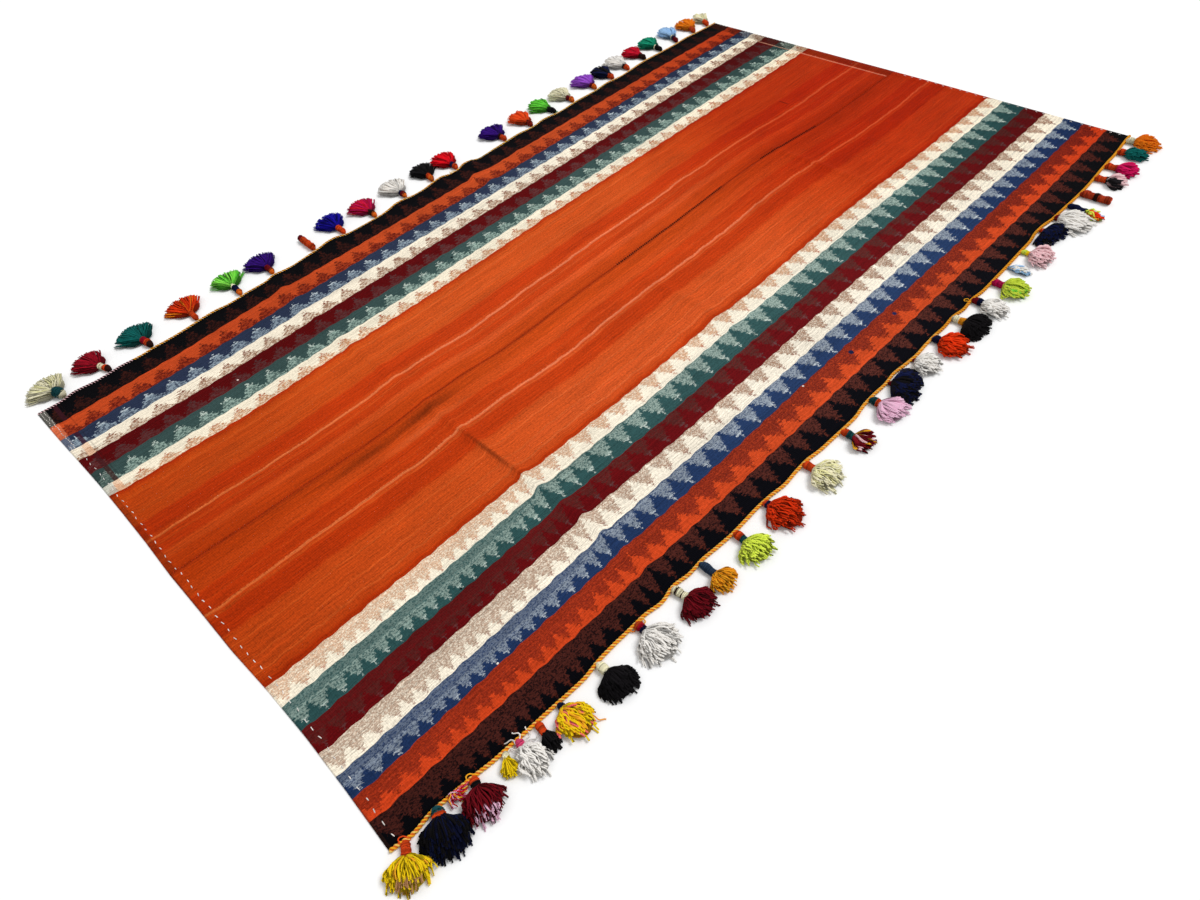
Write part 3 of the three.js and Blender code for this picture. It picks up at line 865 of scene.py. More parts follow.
# %% Yarn colours
YARN_COLORS = {
    "white": "faf6f0", "grey white": "ded8d0", "cream": "f2ecca", "olive cream": "d4d0a0",
    "pale gold": "ecd09a", "gold": "fcb42a", "straw": "ffd46a", "yellow": "fcd818", "mustard": "e8981e",
    "lime": "d4e450", "leaf green": "74c446", "green": "4ea630", "emerald": "0d6a50", "teal": "0c5450",
    "dark teal": "123c40", "pale blue": "8cb0d4", "royal": "18109a", "slate": "2a3a50", "navy": "0e1434",
    "indigo": "320e72", "lilac": "7c3fa4", "pink": "e6b8d0", "rose": "f2c8cc", "hot pink": "e04a78",
    "salmon": "ec6c6c", "magenta": "b0104c", "cerise": "c4162c", "crimson": "a00c22", "red": "c00a18",
    "dark red": "8a0c1e", "maroon": "600a14", "brick": "7c1c10", "brick red": "a8381c",
    "red brown": "b4401a", "rust": "cc4418", "red orange": "c8320c", "burnt orange": "d8641c",
    "orange": "ff8a1c", "field red": "ac320e", "rosy brown": "b07868", "dull brown": "4a2218",
    "dark brown": "26100c", "black": "100e10",
}
TWIST = 3.2               # length of one turn of a yarn's twist: longer than a real one, so that it shows
LIGHTEST = 0.95           # no yarn gives back more than this share of the light
FUZZ = 0.8                # how much of the light its loose fibres scatter
FUZZ_SPREAD = 0.7         # and how widely


def spun_wool(color, tips=None):
    """Spun and dyed wool yarn, with tips of another colour if one is given."""
    made, add = new_material("spun_wool_" + " and ".join(filter(None, (color, tips))).replace(" ", "_"))
    strand = add("Attribute", attribute_name="strand").node.outputs["Fac"]
    share = add("Attribute", attribute_name="share").node.outputs["Fac"]
    run = add("Attribute", attribute_name="run").node.outputs["Fac"]
    at_tip = add("MapRange", share, 0.82, 0.90)
    dye, tip_dye = linear(YARN_COLORS[color]), linear(YARN_COLORS[tips or color])
    shade = add("Mix", at_tip, dye, tip_dye, data_type="RGBA")
    # A strand's number sets its lot of dye, and in a skirt also its painted shade. Towards the root the yarn
    # is painted darker still: painted shade deep in the bundle.
    lot = add("MapRange", strand, 0.0, 1.0, 0.60, 1.20, clamp=False)
    lot = add("Math MAXIMUM", add("Math MINIMUM", lot, LIGHTEST / max(dye[:3])), 0.1)
    depth = add("MapRange", share, 0.0, 0.5, 0.5, 1.0)
    light = add("Math MULTIPLY", lot, depth)
    shade = add("Mix", 1.0, shade, add("CombineXYZ", light, light, light), data_type="RGBA",
                blend_type="MULTIPLY")
    ridge = add("Math SINE", add("Math MULTIPLY", run, 2 * math.pi / TWIST))
    bump = add("Bump", {"Strength": 0.5, "Distance": 0.0004, "Height": ridge})
    wool = add("BsdfPrincipled", {"Base Color": shade, "Roughness": 0.9, "Specular IOR Level": 0.08,
                                  "Normal": bump, "Sheen Weight": FUZZ,
                                  "Sheen Roughness": FUZZ_SPREAD, "Sheen Tint": dye})
    add("OutputMaterial", wool)
    return made


@functools.lru_cache(maxsize=None)
def yarn(color, tips=None):
    return spun_wool(color, tips)


# %% [markdown]
# ## The seam and the hem stitches
# The strips are sewn edge to edge with an overcast seam: a thread that goes over the two edges again and
# again, slanting a little. Two stretches of it are sewn with nearly black thread, and the rest with thread
# near the field's own colour. The hems are held by a running stitch in white thread, about a thumb's width
# from one stitch to the next, and closer towards the left corners. Each stitch is a short low arch of yarn
# that goes into the cloth at both ends.

# %% Stitches
SEAM_PITCH = 7.5          # from one overcast stitch to the next
DARK_SEAM = [(455, 730), (920, 1420)]     # stretches of the seam that are sewn with nearly black thread
HEM_STITCHES = table(["lines", "from_across", "to_across", "inset", "pitch", "long", "color"], [
    ["right", 880, 1640, 8, 30, 7, "white"],
    ["left", 8, 430, 3, 14, 5, "white"],
    ["right", 822, 1640, -18, 27, 9, "white"],
    ["left", 285, 812, -16, 27, 9, "white"],
    ["left", 5, 225, -14, 10, 6, "grey white"],
    ["left", 5, 100, -6, 9, 4, "grey white"],
    ["left", 200, 265, -6, 9, 4, "grey white"],
])


def over_cloth(across, along, lines):
    """Height of the cloth's upper face."""
    far, near = lines["far"](across), lines["near"](across)
    from_end = np.minimum(along - far, near - along)
    layers = 1 + np.clip((HEM * 1.35 - from_end) / (HEM * 0.35), 0, 1)
    return layers * CLOTH + relief(across, along, lines)


def to_row_frame(across, along, height):
    """Points in the row frame, still in millimetres."""
    return place(across, along, height) / MM


def arches(start, stop, lines, sink, rise):
    """Low arches of five points from one set of places on the cloth to another."""
    share = np.linspace(0, 1, 5)[None, :]
    across = start[0][:, None] + (stop[0] - start[0])[:, None] * share
    along = start[1][:, None] + (stop[1] - start[1])[:, None] * share
    height = over_cloth(across, along, lines) - sink + (sink + rise) * np.sin(math.pi * share) ** 0.5
    return to_row_frame(across, along, height)


stitches = Yarns("stitches", seed=3)
chance = stitches.chance
spots = np.arange(4, LENGTH - 4, SEAM_PITCH)
spots = spots + chance.uniform(-1, 1, len(spots))
dark = np.any([(spots > start) & (spots < stop) for start, stop in DARK_SEAM], axis=0)
for chosen, color, radius, reach in ((dark, "dark brown", 1.5, 3.6), (~dark, "field red", 1.0, 2.6)):
    along = spots[chosen]
    seam = LEFT["seam"](along)
    width = chance.uniform(0.8, 1.2, len(along)) * reach
    lines = arches((seam - width, along - 2.2), (seam + width, along + 2.2), LEFT, 0.8, 0.8)
    stitches.lay(lines, radius, yarn(color))
for start, stop, color in ((2, 455, "field red"), (455, 1420, "dark brown"), (1420, 2826, "dull brown")):
    along = np.linspace(start, stop, int((stop - start) / 12))
    joint = (LEFT["seam"](along) + RIGHT["seam"](along)) / 2
    height = over_cloth(joint, along, LEFT) - 0.9
    stitches.lay(to_row_frame(joint, along, height)[None], 1.0, yarn(color))
for row in HEM_STITCHES:
    lines = LEFT if row["lines"] == "left" else RIGHT
    across = np.arange(row["from_across"], row["to_across"], row["pitch"])
    across = across + chance.uniform(-0.12, 0.12, len(across)) * row["pitch"]
    end = lines["far"](across) if row["inset"] > 0 else lines["near"](across)
    along = end + row["inset"] + chance.uniform(-1.5, 1.5, len(across))
    long = row["long"] * chance.uniform(0.75, 1.15, len(across)) / 2
    tilt = chance.uniform(-0.25, 0.25, len(across)) * long
    stitches.lay(arches((across - long, along - tilt), (across + long, along + tilt), lines, 0.5, 0.9), 0.95,
                 yarn(row["color"]))
stitches = stitches.finish(SLOTS["panel_left"])
print("stitches:", len(stitches.data.polygons), "faces")

# %% [markdown]
# ## The edge cords
# Each long edge is finished with a cord wrapped in yarn and sewn to the selvedge. A plain yarn along the edge
# line is its core, and two helices half a turn apart are its wrapping, which leaves slanting lines of the
# core in sight. The right cord is thick and golden, over a brick-red core in its far part and an orange one
# from there on. The left one is thin and pale, with a dark brown and rose stretch at its near end.

# %% Cords
LEFT_PROUD = 1.40         # radius that the left cord's yarns are laid round, as a factor of its solid's
RIGHT_PROUD = 1.15        # and the right cord's; the windings of both reach out further
CORDS = table(["name", "node", "lines", "radius"], [
    ["edge_cord_left", "cord_left", "left", LEFT_CORD / 2 * LEFT_PROUD],
    ["edge_cord_right", "cord_right", "right", RIGHT_CORD / 2 * RIGHT_PROUD],
])
RAISED = 1.28             # height of a cord's middle, as a share of its radius, like the next three
CORE = 0.84               # radius of its core
HELIX = 0.68              # distance of a winding from its middle
WINDING_RADIUS = 0.55     # radius of a winding
LAY_STEPS = 12            # steps in one turn of a winding
CORD_WRAPS = table(["name", "from_along", "to_along", "lay", "core", "first", "second"], [
    ["edge_cord_left", -12, 620, 14.0, "brick", "pale gold", "gold"],
    ["edge_cord_left", 620, 1290, 14.0, "dull brown", "pale gold", "gold"],
    ["edge_cord_left", 1290, 2560, 14.0, "brick", "pale gold", "gold"],
    ["edge_cord_left", 2560, 2838, 8.0, "dark brown", "dark brown", "rose"],
    ["edge_cord_right", 6, 1150, 16.0, "brick red", "gold", "gold"],
    ["edge_cord_right", 1150, 2835, 16.0, "burnt orange", "straw", "gold"],
])
for row in CORDS:
    cord = Yarns(row["name"], seed=5)
    lines = LEFT if row["lines"] == "left" else RIGHT
    radius = row["radius"]
    for wrap in CORD_WRAPS:
        if wrap["name"] != row["name"]:
            continue
        along = np.linspace(wrap["from_along"], wrap["to_along"],
                            int((wrap["to_along"] - wrap["from_along"]) / wrap["lay"] * LAY_STEPS))
        middle = to_row_frame(lines["edge"](along), along, radius * RAISED)
        ahead = np.gradient(middle, axis=0)
        ahead /= np.linalg.norm(ahead, axis=1, keepdims=True)
        outward = np.stack([-ahead[:, 1], ahead[:, 0], np.zeros(len(along))], axis=1)
        middle = middle + outward * (GAP + radius)
        cord.lay(middle[None, ::5], radius * CORE, yarn(wrap["core"]), sides=8, strand=0.6)
        for k, color in enumerate((wrap["first"], wrap["second"])):
            angle = along / wrap["lay"] * 2 * math.pi + k * math.pi
            around = np.cos(angle)[:, None] * outward + np.sin(angle)[:, None] * np.array([0, 0, 1])
            helix = middle + around * radius * HELIX
            cord.lay(helix[None], radius * WINDING_RADIUS, yarn(color), strand=0.9)
    made = cord.finish(SLOTS[row["node"]], row["node"])
    print(row["name"], len(made.data.polygons), "faces")

# %% [markdown]
# ## Measuring a tassel's solid
# A tassel's solid is turned about its own axis and pressed flat, so its corners lie on rings. Its root is
# the corner nearest the rug, its axis runs from there through the middle of all its corners, and the third
# ring is where the bound neck ends and the skirt of loose yarn begins.

# %% Measure the tassels
LONG_NECK = {             # bindings that go on past the solid's neck, over the start of the skirt
    "r03": 1.15, "r04": 1.3, "r08": 1.4, "r09": 1.5, "r11": 1.2,
    "r12": 1.2, "r13": 1.35, "r14": 1.2, "r17": 1.6, "r18": 1.35,
    "r19": 1.35, "r21": 1.45, "r22": 1.3, "r23": 1.3, "r24": 1.3,
    "r25": 1.2, "r26": 1.6, "r30": 1.15, "r32": 1.1,
}


def measure(tassel):
    """Root, axis and side directions, and the neck's and skirt's sizes, in millimetres."""
    corners = np.array([vertex.co for vertex in frame["nodes"]["tassel_" + tassel].data.vertices]) / MM
    corners = np.unique(np.round(corners, 2), axis=0)[:, :2]
    inner = corners[abs(corners[:, 0]).argsort()[:2]].mean(axis=0)
    axis = corners.mean(axis=0) - inner
    axis /= np.linalg.norm(axis)
    side = np.array([-axis[1], axis[0]])
    ahead = (corners - inner) @ axis
    aside = (corners - inner) @ side
    places = np.sort(ahead)
    rings = places[np.insert(np.diff(places) > 1.0, 0, True)]
    neck_width = 2 * abs(aside[abs(ahead - rings[2]) < 1.0]).max()
    neck = rings[2] * LONG_NECK.get(tassel, 1)
    return {"node": tassel, "root": inner, "axis": axis, "side": side, "neck": neck,
            "neck_width": neck_width, "long": ahead.max() - neck, "wide": 2 * abs(aside).max()}


# %% [markdown]
# ## The tassels
# A tassel is a bundle of yarn folded over the cord and bound tightly below the fold for a few centimetres.
# The bound neck is a close winding, often in two or three colours. Below it the yarn fans out into a brush
# that lies on the floor: its strands all have about the same length, so their cut ends make a rounded front.
# The table says how each one was made. "neck" lists the winding's colours with the share of the neck at
# which each ends, from the root. "skirt" lists the brush's colours with their shares of the strands.
# Straight strands fan out evenly, round skirts turn further to the sides and fluffy ones are dense and close
# to a ball. Curly strands wave strongly, and loops turn back to the neck.

# %% Table of tassels
TASSELS = table(["node", "skirt", "neck", "style"], [
    ["l01", [("cream", 0.7), ("olive cream", 1)], [("rust", 1)], "straight"],
    ["l02", [("orange", 1)], [("red brown", 1)], "straight"],
    ["l03", [("pale blue", 1)], [("maroon", 0.5), ("navy", 0.8), ("cream", 1)], "straight"],
    ["l04", [("emerald", 1)], [("black", 0.75), ("cream", 1)], "straight"],
    ["l05", [("crimson", 1)], [("dark brown", 1)], "straight"],
    ["l06", [("white", 0.6), ("grey white", 1)], [("rust", 0.55), ("dark brown", 1)], "straight"],
    ["l07", [("navy", 0.7), ("black", 1)], [("rust", 1)], "straight"],
    ["l08", [("lilac", 1)], [("burnt orange", 0.4), ("maroon", 1)], "straight"],
    ["l09", [("cream", 1)], [("burnt orange", 0.4), ("maroon", 1)], "straight"],
    ["l10", [("green", 1)], [("black", 1)], "straight"],
    ["l11", [("rust", 1)], [("brick", 0.7), ("dark brown", 1)], "straight"],
    ["l12", [("indigo", 1)], [("rust", 0.7), ("dark brown", 1)], "straight"],
    ["l13", [("red", 1)], [("rust", 0.5), ("navy", 1)], "straight"],
    ["l14", [("black", 1)], [("burnt orange", 0.5), ("rust", 1)], "straight"],
    ["l15", [("white", 0.6), ("grey white", 1)],
     [("burnt orange", 0.2), ("maroon", 0.6), ("navy", 1)], "straight"],
    ["l16", [("magenta", 0.5), ("cerise", 1)], [("burnt orange", 0.3), ("dark brown", 1)], "straight"],
    ["l17", [("royal", 1)], [("rust", 1)], "straight"],
    ["l18", [], [("rust", 0.8), ("maroon", 1)], "bare"],
    ["l19", [("indigo", 1)], [("burnt orange", 0.2), ("maroon", 1)], "straight"],
    ["l20", [("green", 0.4), ("leaf green", 1)],
     [("burnt orange", 0.2), ("navy", 0.8), ("cream", 1)], "straight"],
    ["l21", [("red orange", 0.75), ("orange", 1)], [("rust", 1)], "straight"],
    ["l22", [("teal", 1)], [("dark brown", 0.25), ("rust", 0.5), ("dark red", 1)], "straight"],
    ["l23", [("dark red", 1)], [("dark brown", 0.25), ("rust", 0.6), ("cream", 1)], "straight"],
    ["l24", [("cream", 0.6), ("olive cream", 1)], [("cream", 0.2), ("dark teal", 1)], "straight"],
    ["r01", [("orange", 1)], [("cream", 1)], "round"],
    ["r02", [("teal", 1)], [("rust", 1)], "round"],
    ["r03", [("magenta", 1)], [("rust", 1)], "loops"],
    ["r04", [("rose", 0.66), ("black", 1)], [("rust", 0.8), ("black", 1)], "loops"],
    ["r05", [], [("brick red", 0.45), ("dark brown", 0.6), ("brick red", 1)], "bare"],
    ["r06", [("lime", 0.2), ("pale blue", 0.4), ("red orange", 0.75), ("lime", 1)],
     [("navy", 1)], "curly"],
    ["r07", [("white", 1)], [("maroon", 1)], "curly"],
    ["r08", [("navy", 0.6), ("black", 1)], [("rust", 1)], "fluffy"],
    ["r09", [("rose", 1)], [("lime", 0.5), ("yellow", 0.75), ("hot pink", 1)], "curly"],
    ["r10", [("pale blue", 0.6), ("white", 1)], [("pale blue", 1)], "curly"],
    ["r11", [("lime", 0.8), ("leaf green", 1)], [("magenta", 1)], "round"],
    ["r12", [("white", 1)], [("maroon", 0.5), ("navy", 1)], "curly"],
    ["r13", [("black", 1)], [("cream", 0.5), ("mustard", 1)], "fluffy"],
    ["r14", [("red orange", 1)], [("navy", 1)], "curly"],
    ["r15", [("white", 1)], [("maroon", 1)], "curly"],
    ["r16", [("navy", 0.5), ("black", 1)], [("maroon", 1)], "fluffy"],
    ["r17", [("pink", 1)], [("dark teal", 0.6), ("rust", 1)], "loops"],
    ["r18", [("maroon", 0.74), ("rose", 0.84), ("gold", 1)],
     [("rust", 0.45), ("dark teal", 1)], "loops"],
    ["r19", [("cream", 0.6), ("olive cream", 1)], [("rust", 1)], "curly"],
    ["r20", [("red orange", 1)], [("rust", 0.4), ("navy", 1)], "curly"],
    ["r21", [("lime", 1)], [("rust", 0.6), ("dark teal", 1)], "curly"],
    ["r22", [("mustard", 0.7), ("gold", 1)], [("slate", 1)], "round"],
    ["r23", [("maroon", 1)],
     [("cream", 0.28), ("dark brown", 0.36), ("cream", 0.62), ("dark brown", 0.7), ("cream", 1)], "round"],
    ["r24", [("white", 1)], [("red brown", 0.35), ("crimson", 0.6), ("navy", 1)], "curly"],
    ["r25", [("black", 1)], [("cream", 1)], "fluffy"],
    ["r26", [("gold", 0.3), ("yellow", 0.85), ("salmon", 1)], [("navy", 1)], "curly"],
    ["r27", [("black", 1)], [("rust", 1)], "fluffy"],
    ["r28", [("white", 1)], [("hot pink", 1)], "curly"],
    ["r29", [("yellow", 1)], [("cream", 1)], "straight"],
    ["r30", [("maroon", 1)], [("rust", 0.5), ("black", 1)], "round"],
    ["r31", [("navy", 0.4), ("black", 1)], [("dark teal", 0.65), ("rust", 1)], "fluffy"],
    ["r32", [("yellow", 0.9), ("gold", 1)], [("rust", 1)], "round"],
])
SIDE_BY_SIDE = ["r04", "r06"]      # colours that lie side by side instead of mixed
TIPS = {"r30": "pink", "r32": "rosy brown"}   # dye of the tips in the middle of a skirt

# %% [markdown]
# ## Winding a neck and fanning out a skirt
# The neck's winding is a helix, laid turn by turn round a core. The skirt is several hundred strands at most,
# since it is seen from above. Each is a bent line from inside the neck to its cut end. The strands that lie
# low reach the rounded front, and the higher ones end sooner, so that the cut ends cover the whole dome. A
# pressed core of the same dye, painted dark as painted shade, closes the gaps between them. Strands keep
# together in locks, the low ones are painted darker than the high ones as painted shade, and some lie in
# their neighbours' shadow. Towards the far end there are fewer of those, and the yarn is thicker and lighter,
# so that it still shows. Many tassels also have a tone of their own.

# %% Make a tassel
HEIGHT = 32               # height of a full skirt of yarn
WINDING = 2.1             # from one turn of the neck's binding yarn to the next
TURN_STEPS = 8            # steps in one turn of the binding
BINDING = 1.3             # radius of the binding yarn
CORE_INSET = 1.4          # how far the neck's core lies inside its binding
PLUMP = 1.08              # how much thicker a neck is than its solid
THIN = 0.6                # its thickness at the root, as a share of the full one
TAPER = 18.0              # over this length it would gain its full thickness once more
LUMPS = 0.07              # how lumpy it is, as a share of its thickness
LUMP_PACE = 4.5           # length along the neck for each radian of its lumps
# A skirt's strands keep together in locks. "locks" is how many there are for each millimetre of width and
# "each" how many strands are in one. "fan" is how far round they turn to each side, in radians. "short" is
# how much shorter the highest ones are, "stray" how much the lengths differ otherwise, and "grow" how far
# they spread past the solid's outline, all as shares of the length. "early" is the share of its way aside
# that a strand has gone when it bends, a "bend" of the length from the neck: late in a fan, at once in a
# ball. Where "low" is more than one, more of the strands lie low and close the front.
STYLE = ["style", "steps", "sides", "radius", "locks", "each", "fan", "wave", "turns", "short", "stray",
         "grow", "early", "bend", "low"]
STYLES = {row["style"]: row for row in table(STYLE, [
    ["straight", 5, 3, 1.30, 1.30, 2, 1.40, 1.6, 0.8, 0.26, 0.13, 1.10, 0.66, 0.22, 1.0],
    ["round", 6, 3, 1.35, 1.45, 2, 1.80, 2.4, 1.2, 0.42, 0.10, 1.10, 0.88, 0.10, 1.2],
    ["fluffy", 5, 3, 1.60, 2.30, 3, 2.10, 1.0, 0.8, 0.62, 0.03, 1.10, 0.88, 0.10, 1.7],
    ["curly", 10, 4, 1.50, 0.95, 2, 1.65, 3.4, 1.9, 0.42, 0.13, 1.15, 0.88, 0.10, 1.0],
    ["loops", 12, 4, 1.45, 0.80, 2, 1.60, 1.4, 0.8, 0.36, 0.08, 1.12, 0.80, 0.14, 1.0],
])}
STOUT = {"l24": 1.55, "l22": 1.15, "r31": 1.30, "r26": 1.15}      # thicker necks
WIDER = {"l": 1.20, "r": 1.06}                # widening of each edge's skirts, before they grow
FULL = {                  # and skirts that differ from that
    "l01": 1.10, "l22": 1.10, "r12": 1.25, "r15": 1.20, "r18": 1.15,
    "r22": 1.20, "r23": 1.15, "r24": 1.15, "r25": 1.15, "r26": 1.15,
    "r28": 1.20, "r29": 1.20,
    "r07": 1.25, "r08": 1.52, "r13": 1.28, "r16": 1.48, "r30": 1.12,
    "r31": 1.28, "r32": 1.22,
}
TONE = {                  # yarn that took more or less dye: how much lighter it is than its colour
    "l02": 1.25, "l03": 1.30, "l06": 1.15, "l07": 0.60, "l11": 1.45,
    "l12": 0.60, "l14": 0.70, "l17": 0.60, "l19": 0.70, "l20": 1.15,
    "l15": 1.20, "l16": 0.80, "l09": 1.15, "r14": 0.85, "r20": 0.85,
    "r01": 1.60, "r04": 1.30, "r07": 1.35, "r09": 1.40,
    "r10": 1.60, "r11": 1.20, "r12": 1.40, "r15": 1.40, "r17": 1.30,
    "r22": 1.20, "r24": 1.40, "r26": 1.50, "r28": 1.40, "r29": 1.30,
    "r31": 0.60, "r32": 1.30,
}
SHADOWED = 0.27           # share of the strands that lie in the shadow of their neighbours
SHADOW = 0.22             # and how much of their light those keep
FAR_SHADE = 0.5           # how much lighter the dye is on the tassels at the far end than on the near ones
FAR_YARN = 0.35           # and how much thicker their yarn is


def farness(size):
    """0 for a tassel at the near end and 1 for one at the far end."""
    return float(np.clip(0.5 + size["root"][1] / LENGTH, 0, 1))


def taper(ahead):
    """How much of its full thickness a neck has at this distance from its root."""
    return np.clip(THIN + ahead / TAPER, THIN, 1.0)


def wind_neck(bundle, size, bands):
    """Binds the neck, from the root outwards, one turn of yarn at a time."""
    full = size["neck_width"] / 2 * PLUMP * STOUT.get(size["node"], 1)
    origin, axis, side = size["root"], size["axis"], size["side"]

    lump = bundle.chance.uniform(0, 2 * math.pi)

    def around(ahead, angle, inside):
        thick = taper(ahead) * full * (1 + LUMPS * np.sin(ahead / LUMP_PACE + lump))
        flat = origin + ahead[..., None] * axis + (np.cos(angle) * (thick - inside))[..., None] * side
        return np.concatenate([flat, (thick + np.sin(angle) * (thick - inside))[..., None]], axis=-1)

    start = 0.0
    for color, share in bands:
        stop = share * size["neck"]
        turns = max(1, round((stop - start) / WINDING))
        ahead = np.arange(turns)[:, None] + np.linspace(0, 1, TURN_STEPS + 1)
        ahead = start + ahead * (stop - start) / turns
        shade = bundle.chance.uniform(-0.6, 1.1, turns)
        turned = around(ahead, ahead / WINDING * 2 * math.pi, BINDING + 0.05)
        bundle.lay(turned, BINDING, yarn(color), strand=shade)
        core = np.linspace(start, stop, 5)
        thick = taper(core) * full - CORE_INSET
        middle = around(core, core * 0, 0.0)
        middle[:, :2] -= (thick + CORE_INSET)[:, None] * side
        bundle.lay(middle[None], thick[None], yarn(color), sides=8)
        start = stop


def bent(start, bend, end, share):
    """Where a bent line is at each share of its length: at its start, near its bend, then at its end."""
    return start * (1 - share) ** 2 + bend * 2 * share * (1 - share) + end * share ** 2


def fan_skirt(bundle, size, colors, style, tips):
    """Lays the strands of the brush."""
    manner = STYLES[style]
    chance = bundle.chance
    radius = manner["radius"] * (1 + FAR_YARN * farness(size))
    half = size["neck_width"] / 2 * STOUT.get(size["node"], 1)
    long = size["long"] * manner["grow"]
    full = FULL.get(size["node"], WIDER[size["node"][0]])
    wide = size["wide"] / 2 * full * manner["grow"] - radius
    tall = HEIGHT * min(1.0, 0.35 + size["wide"] / 90)
    locks = manner["locks"] * size["wide"] * full / (1 + FAR_YARN * farness(size))
    locks = max(5, int(locks))
    count = locks * manner["each"]

    def by_lock(values, stray=0.0):
        """One value for each lock, and a little difference between its own strands."""
        return (np.repeat(values, manner["each"]) + stray * chance.uniform(-1, 1, count))[:, None]

    turn = by_lock(manner["fan"] * np.linspace(-1, 1, locks), 0.06)
    lift = by_lock((chance.permutation(locks) / (locks - 1)) ** manner["low"], 0.05).clip(0, 1)
    # Painted shade: strands that lie low are darker than the high ones above them, and the shadowed ones
    # darker still.
    shade = 0.50 + 0.50 * lift + by_lock(chance.uniform(0, 0.30, locks), 0) + 0.50 * chance.random((count, 1))
    shade *= np.where(chance.random((count, 1)) < SHADOWED * (1 - farness(size)), SHADOW, 1.0)
    shade = (shade * (1 + FAR_SHADE * farness(size)) * TONE.get(size["node"], 1) - 0.6) / 0.6 - 0.25
    reach = 1 - manner["short"] * lift ** 0.8
    end_height = radius + (tall - 2 * radius) * (0.25 * lift + 0.75 * np.sqrt(1 - reach ** 2))
    reach = reach * by_lock(1 + manner["stray"] * chance.uniform(-1.0, 0.5, locks), 0.03)
    end_ahead = long * ((0.42 + 0.58 * np.cos(turn)) * reach + 0.24 * (1 - reach))
    end_aside = wide * np.sin(turn) * reach
    angle = 2 * math.pi * chance.uniform(0, 1, (count, 1))
    deep = half * 0.8 * np.sqrt(chance.uniform(0, 1, (count, 1)))
    start_height = half * (0.3 + 1.4 * lift)

    share = np.linspace(0, 1, manner["steps"] + 1)[None, :]
    apart = 0.0
    if style == "loops":
        apart = np.where(share < 0.5, -1.0, 1.0) * 2.4
        share = 1 - abs(1 - 2 * share)
    ahead = bent(-4.0, long * manner["bend"], end_ahead, share)
    aside = bent(np.cos(angle) * deep, end_aside * manner["early"], end_aside, share) + apart * share
    height = bent(start_height, np.maximum(start_height, end_height) + 3 * lift, end_height, share)
    swing = manner["turns"] * 2 * math.pi * share + by_lock(2 * math.pi * chance.uniform(0, 1, locks), 0.9)
    wave = manner["wave"] * np.minimum(share * 2.5, 1) * chance.uniform(0.5, 1.3, (count, 1))
    aside = aside + wave * np.sin(swing)
    height = np.maximum(height + 0.6 * wave * np.cos(swing), radius * 1.05)
    flat = size["root"] + (size["neck"] + ahead)[..., None] * size["axis"] + aside[..., None] * size["side"]
    lines = np.concatenate([flat, height[..., None]], axis=2)

    tipped = (abs(turn[:, 0]) < 0.7) & (lift[:, 0] < 0.75) & (chance.random(count) < 0.85) & bool(tips)
    lot = by_lock(chance.random(locks))[:, 0]
    if size["node"] in SIDE_BY_SIDE:
        lot = np.clip(0.5 - 0.5 * turn[:, 0] / manner["fan"] + chance.uniform(-0.06, 0.06, count), 0, 0.999)
    first = 0.0
    for color, last in colors:
        chosen = (lot >= first) & (lot < last)
        for mask, tip in ((chosen & ~tipped, None), (chosen & tipped, tips)):
            if mask.any():
                bundle.lay(lines[mask], radius, yarn(color, tip), manner["sides"], rooted=True,
                           strand=shade[mask, 0])
        first = last

    # A pressed core of the first colour, painted dark: painted shade deep among the strands.
    shares = np.array([0.0, 0.10, 0.28, 0.5, 0.7, 0.82, 0.90])
    widths = np.array([0.30, 0.58, 0.74, 0.76, 0.68, 0.46, 0.20]) * wide / manner["grow"]
    core = size["root"] + (size["neck"] - 3 + shares * long)[:, None] * size["axis"]
    middle = np.concatenate([core, np.zeros((len(core), 1))], axis=1)
    flatten = tall * 0.24 / widths.max()
    bundle.lay(middle[None], widths[None], yarn(colors[0][0]), sides=12, rooted=True, strand=-0.7,
               press=lambda height: (height + widths.max()) * flatten)


tassel_faces = 0
for number, row in enumerate(TASSELS):
    size = measure(row["node"])
    node_name = "tassel_" + row["node"]
    bundle = Yarns("yarn_" + node_name, seed=100 + number)
    wind_neck(bundle, size, row["neck"])
    if row["skirt"]:
        fan_skirt(bundle, size, row["skirt"], row["style"], TIPS.get(row["node"]))
    made = bundle.finish(SLOTS[node_name], node_name)
    tassel_faces += len(made.data.polygons)
print("tassels:", len(TASSELS), "with", tassel_faces, "faces")

# %% [markdown]
# ## Loose yarn
# Here and there a yarn lies loose: a small loop, a tail beside a tassel, and a small tuft of five colours
# near the near end of the right cord. A loop leaves the cord and comes back to it, and a tail wanders off.
# The table gives the tassel that each belongs to, its start ahead and aside of that tassel's root, its turn
# from the tassel's axis, and its length and width.

# %% Loops, tails and a tuft
LOOSE = table(["node", "color", "shape", "ahead", "aside", "turn", "long", "wide"], [
    ["l13", "pale gold", "loop", -2, 16, 120, 24, 13],
    ["l10", "green", "tail", 26, -6, 165, 34, 5],
    ["r12", "gold", "loop", 2, -8, 200, 18, 11],
    ["r14", "red orange", "tail", 62, 20, 20, 32, 5],
    ["r24", "gold", "loop", 1, 5, 70, 14, 9],
    ["r24", "orange", "loop", 1, -5, -80, 12, 8],
    ["r26", "mustard", "tail", 58, 26, 30, 30, 4],
    ["r28", "white", "tail", 14, 2, 170, 34, 7],
    ["r28", "white", "tail", 14, -2, 205, 32, 7],
    ["r28", "white", "tail", 16, 5, 130, 34, 8],
    ["r28", "white", "tail", 16, -5, 240, 30, 8],
    ["r28", "white", "tail", 16, 6, 90, 36, 6],
    ["r28", "white", "tail", 16, 6, 60, 38, 6],
    ["r30", "gold", "loop", -3, 9, -90, 20, 12],
    ["r32", "rust", "loop", -3, 9, -90, 20, 12],
])
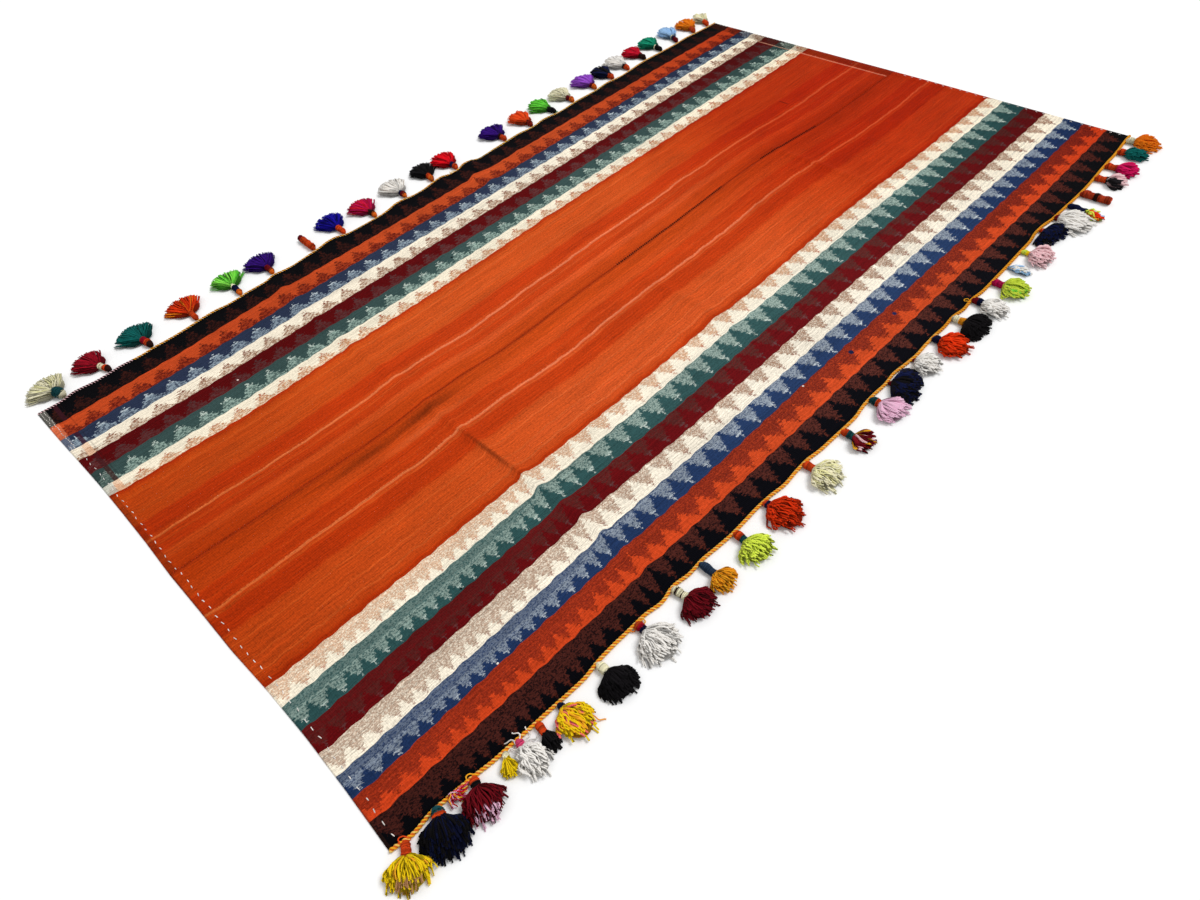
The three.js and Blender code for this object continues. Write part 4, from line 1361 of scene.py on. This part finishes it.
TUFT_COLORS = ["hot pink", "pink", "red", "gold", "crimson"]
TUFT_ALONG = 2700
TUFT_STRANDS = 60
PLY = 1.3                 # radius of a loose yarn


def on_ground(spots, height):
    """Lays points of a line on what is under them: the floor, the cloth or a cord."""
    across, along = spots[:, 0] + WIDTH / 2, LENGTH / 2 - spots[:, 1]
    lines = LEFT if across[0] < WIDTH / 2 else RIGHT
    from_edge = abs(across - WIDTH / 2) - abs(lines["edge"](along) - WIDTH / 2)
    ground = np.where(from_edge < 0, over_cloth(across, along, lines), 0)
    ground = ground + (RIGHT_CORD - 2) * np.exp(-(from_edge / 7) ** 2)
    return np.concatenate([spots, (ground + PLY + height)[:, None]], axis=1)


def loose_line(origin, axis, turn, shape, long, wide, steps=18):
    """The line of a loop or a tail."""
    share = np.linspace(0, 1, steps)
    if shape == "loop":
        ahead, aside = long * np.sin(math.pi * share), wide / 2 * np.sin(2 * math.pi * share)
    else:
        ahead, aside = long * share, wide * np.sin(2.6 * math.pi * share) * share
    axis = np.array([axis[0] * math.cos(turn) - axis[1] * math.sin(turn),
                     axis[0] * math.sin(turn) + axis[1] * math.cos(turn)])
    side = np.array([-axis[1], axis[0]])
    return on_ground(origin + ahead[:, None] * axis + aside[:, None] * side, 3 * np.sin(math.pi * share))


loose = Yarns("loose_yarn", seed=9)
for row in LOOSE:
    size = measure(row["node"])
    origin = size["root"] + row["ahead"] * size["axis"] + row["aside"] * size["side"]
    turn = math.radians(row["turn"])
    line = loose_line(origin, size["axis"], turn, row["shape"], row["long"], row["wide"])
    if row["ahead"] > 10:
        line[:, 2] += 12 * (1 - np.linspace(0, 1, len(line))) ** 2
    loose.lay(line[None], PLY, yarn(row["color"]))
for number in range(TUFT_STRANDS):
    spot = np.array([float(RIGHT["edge"](TUFT_ALONG)) + 6 - WIDTH / 2, LENGTH / 2 - TUFT_ALONG])
    spot = spot + loose.chance.uniform(-1, 1, 2) * (3, 10)
    turn = loose.chance.uniform(-1.3, 1.3)
    line = loose_line(spot, (1, 0), turn, "tail", loose.chance.uniform(14, 26), 3, steps=7)
    line[:, 2] += number * 0.18
    loose.lay(line[None], 1.1, yarn(TUFT_COLORS[number % len(TUFT_COLORS)]))
loose = loose.finish(SLOTS["cord_right"])
print("loose yarn:", len(loose.data.polygons), "faces")
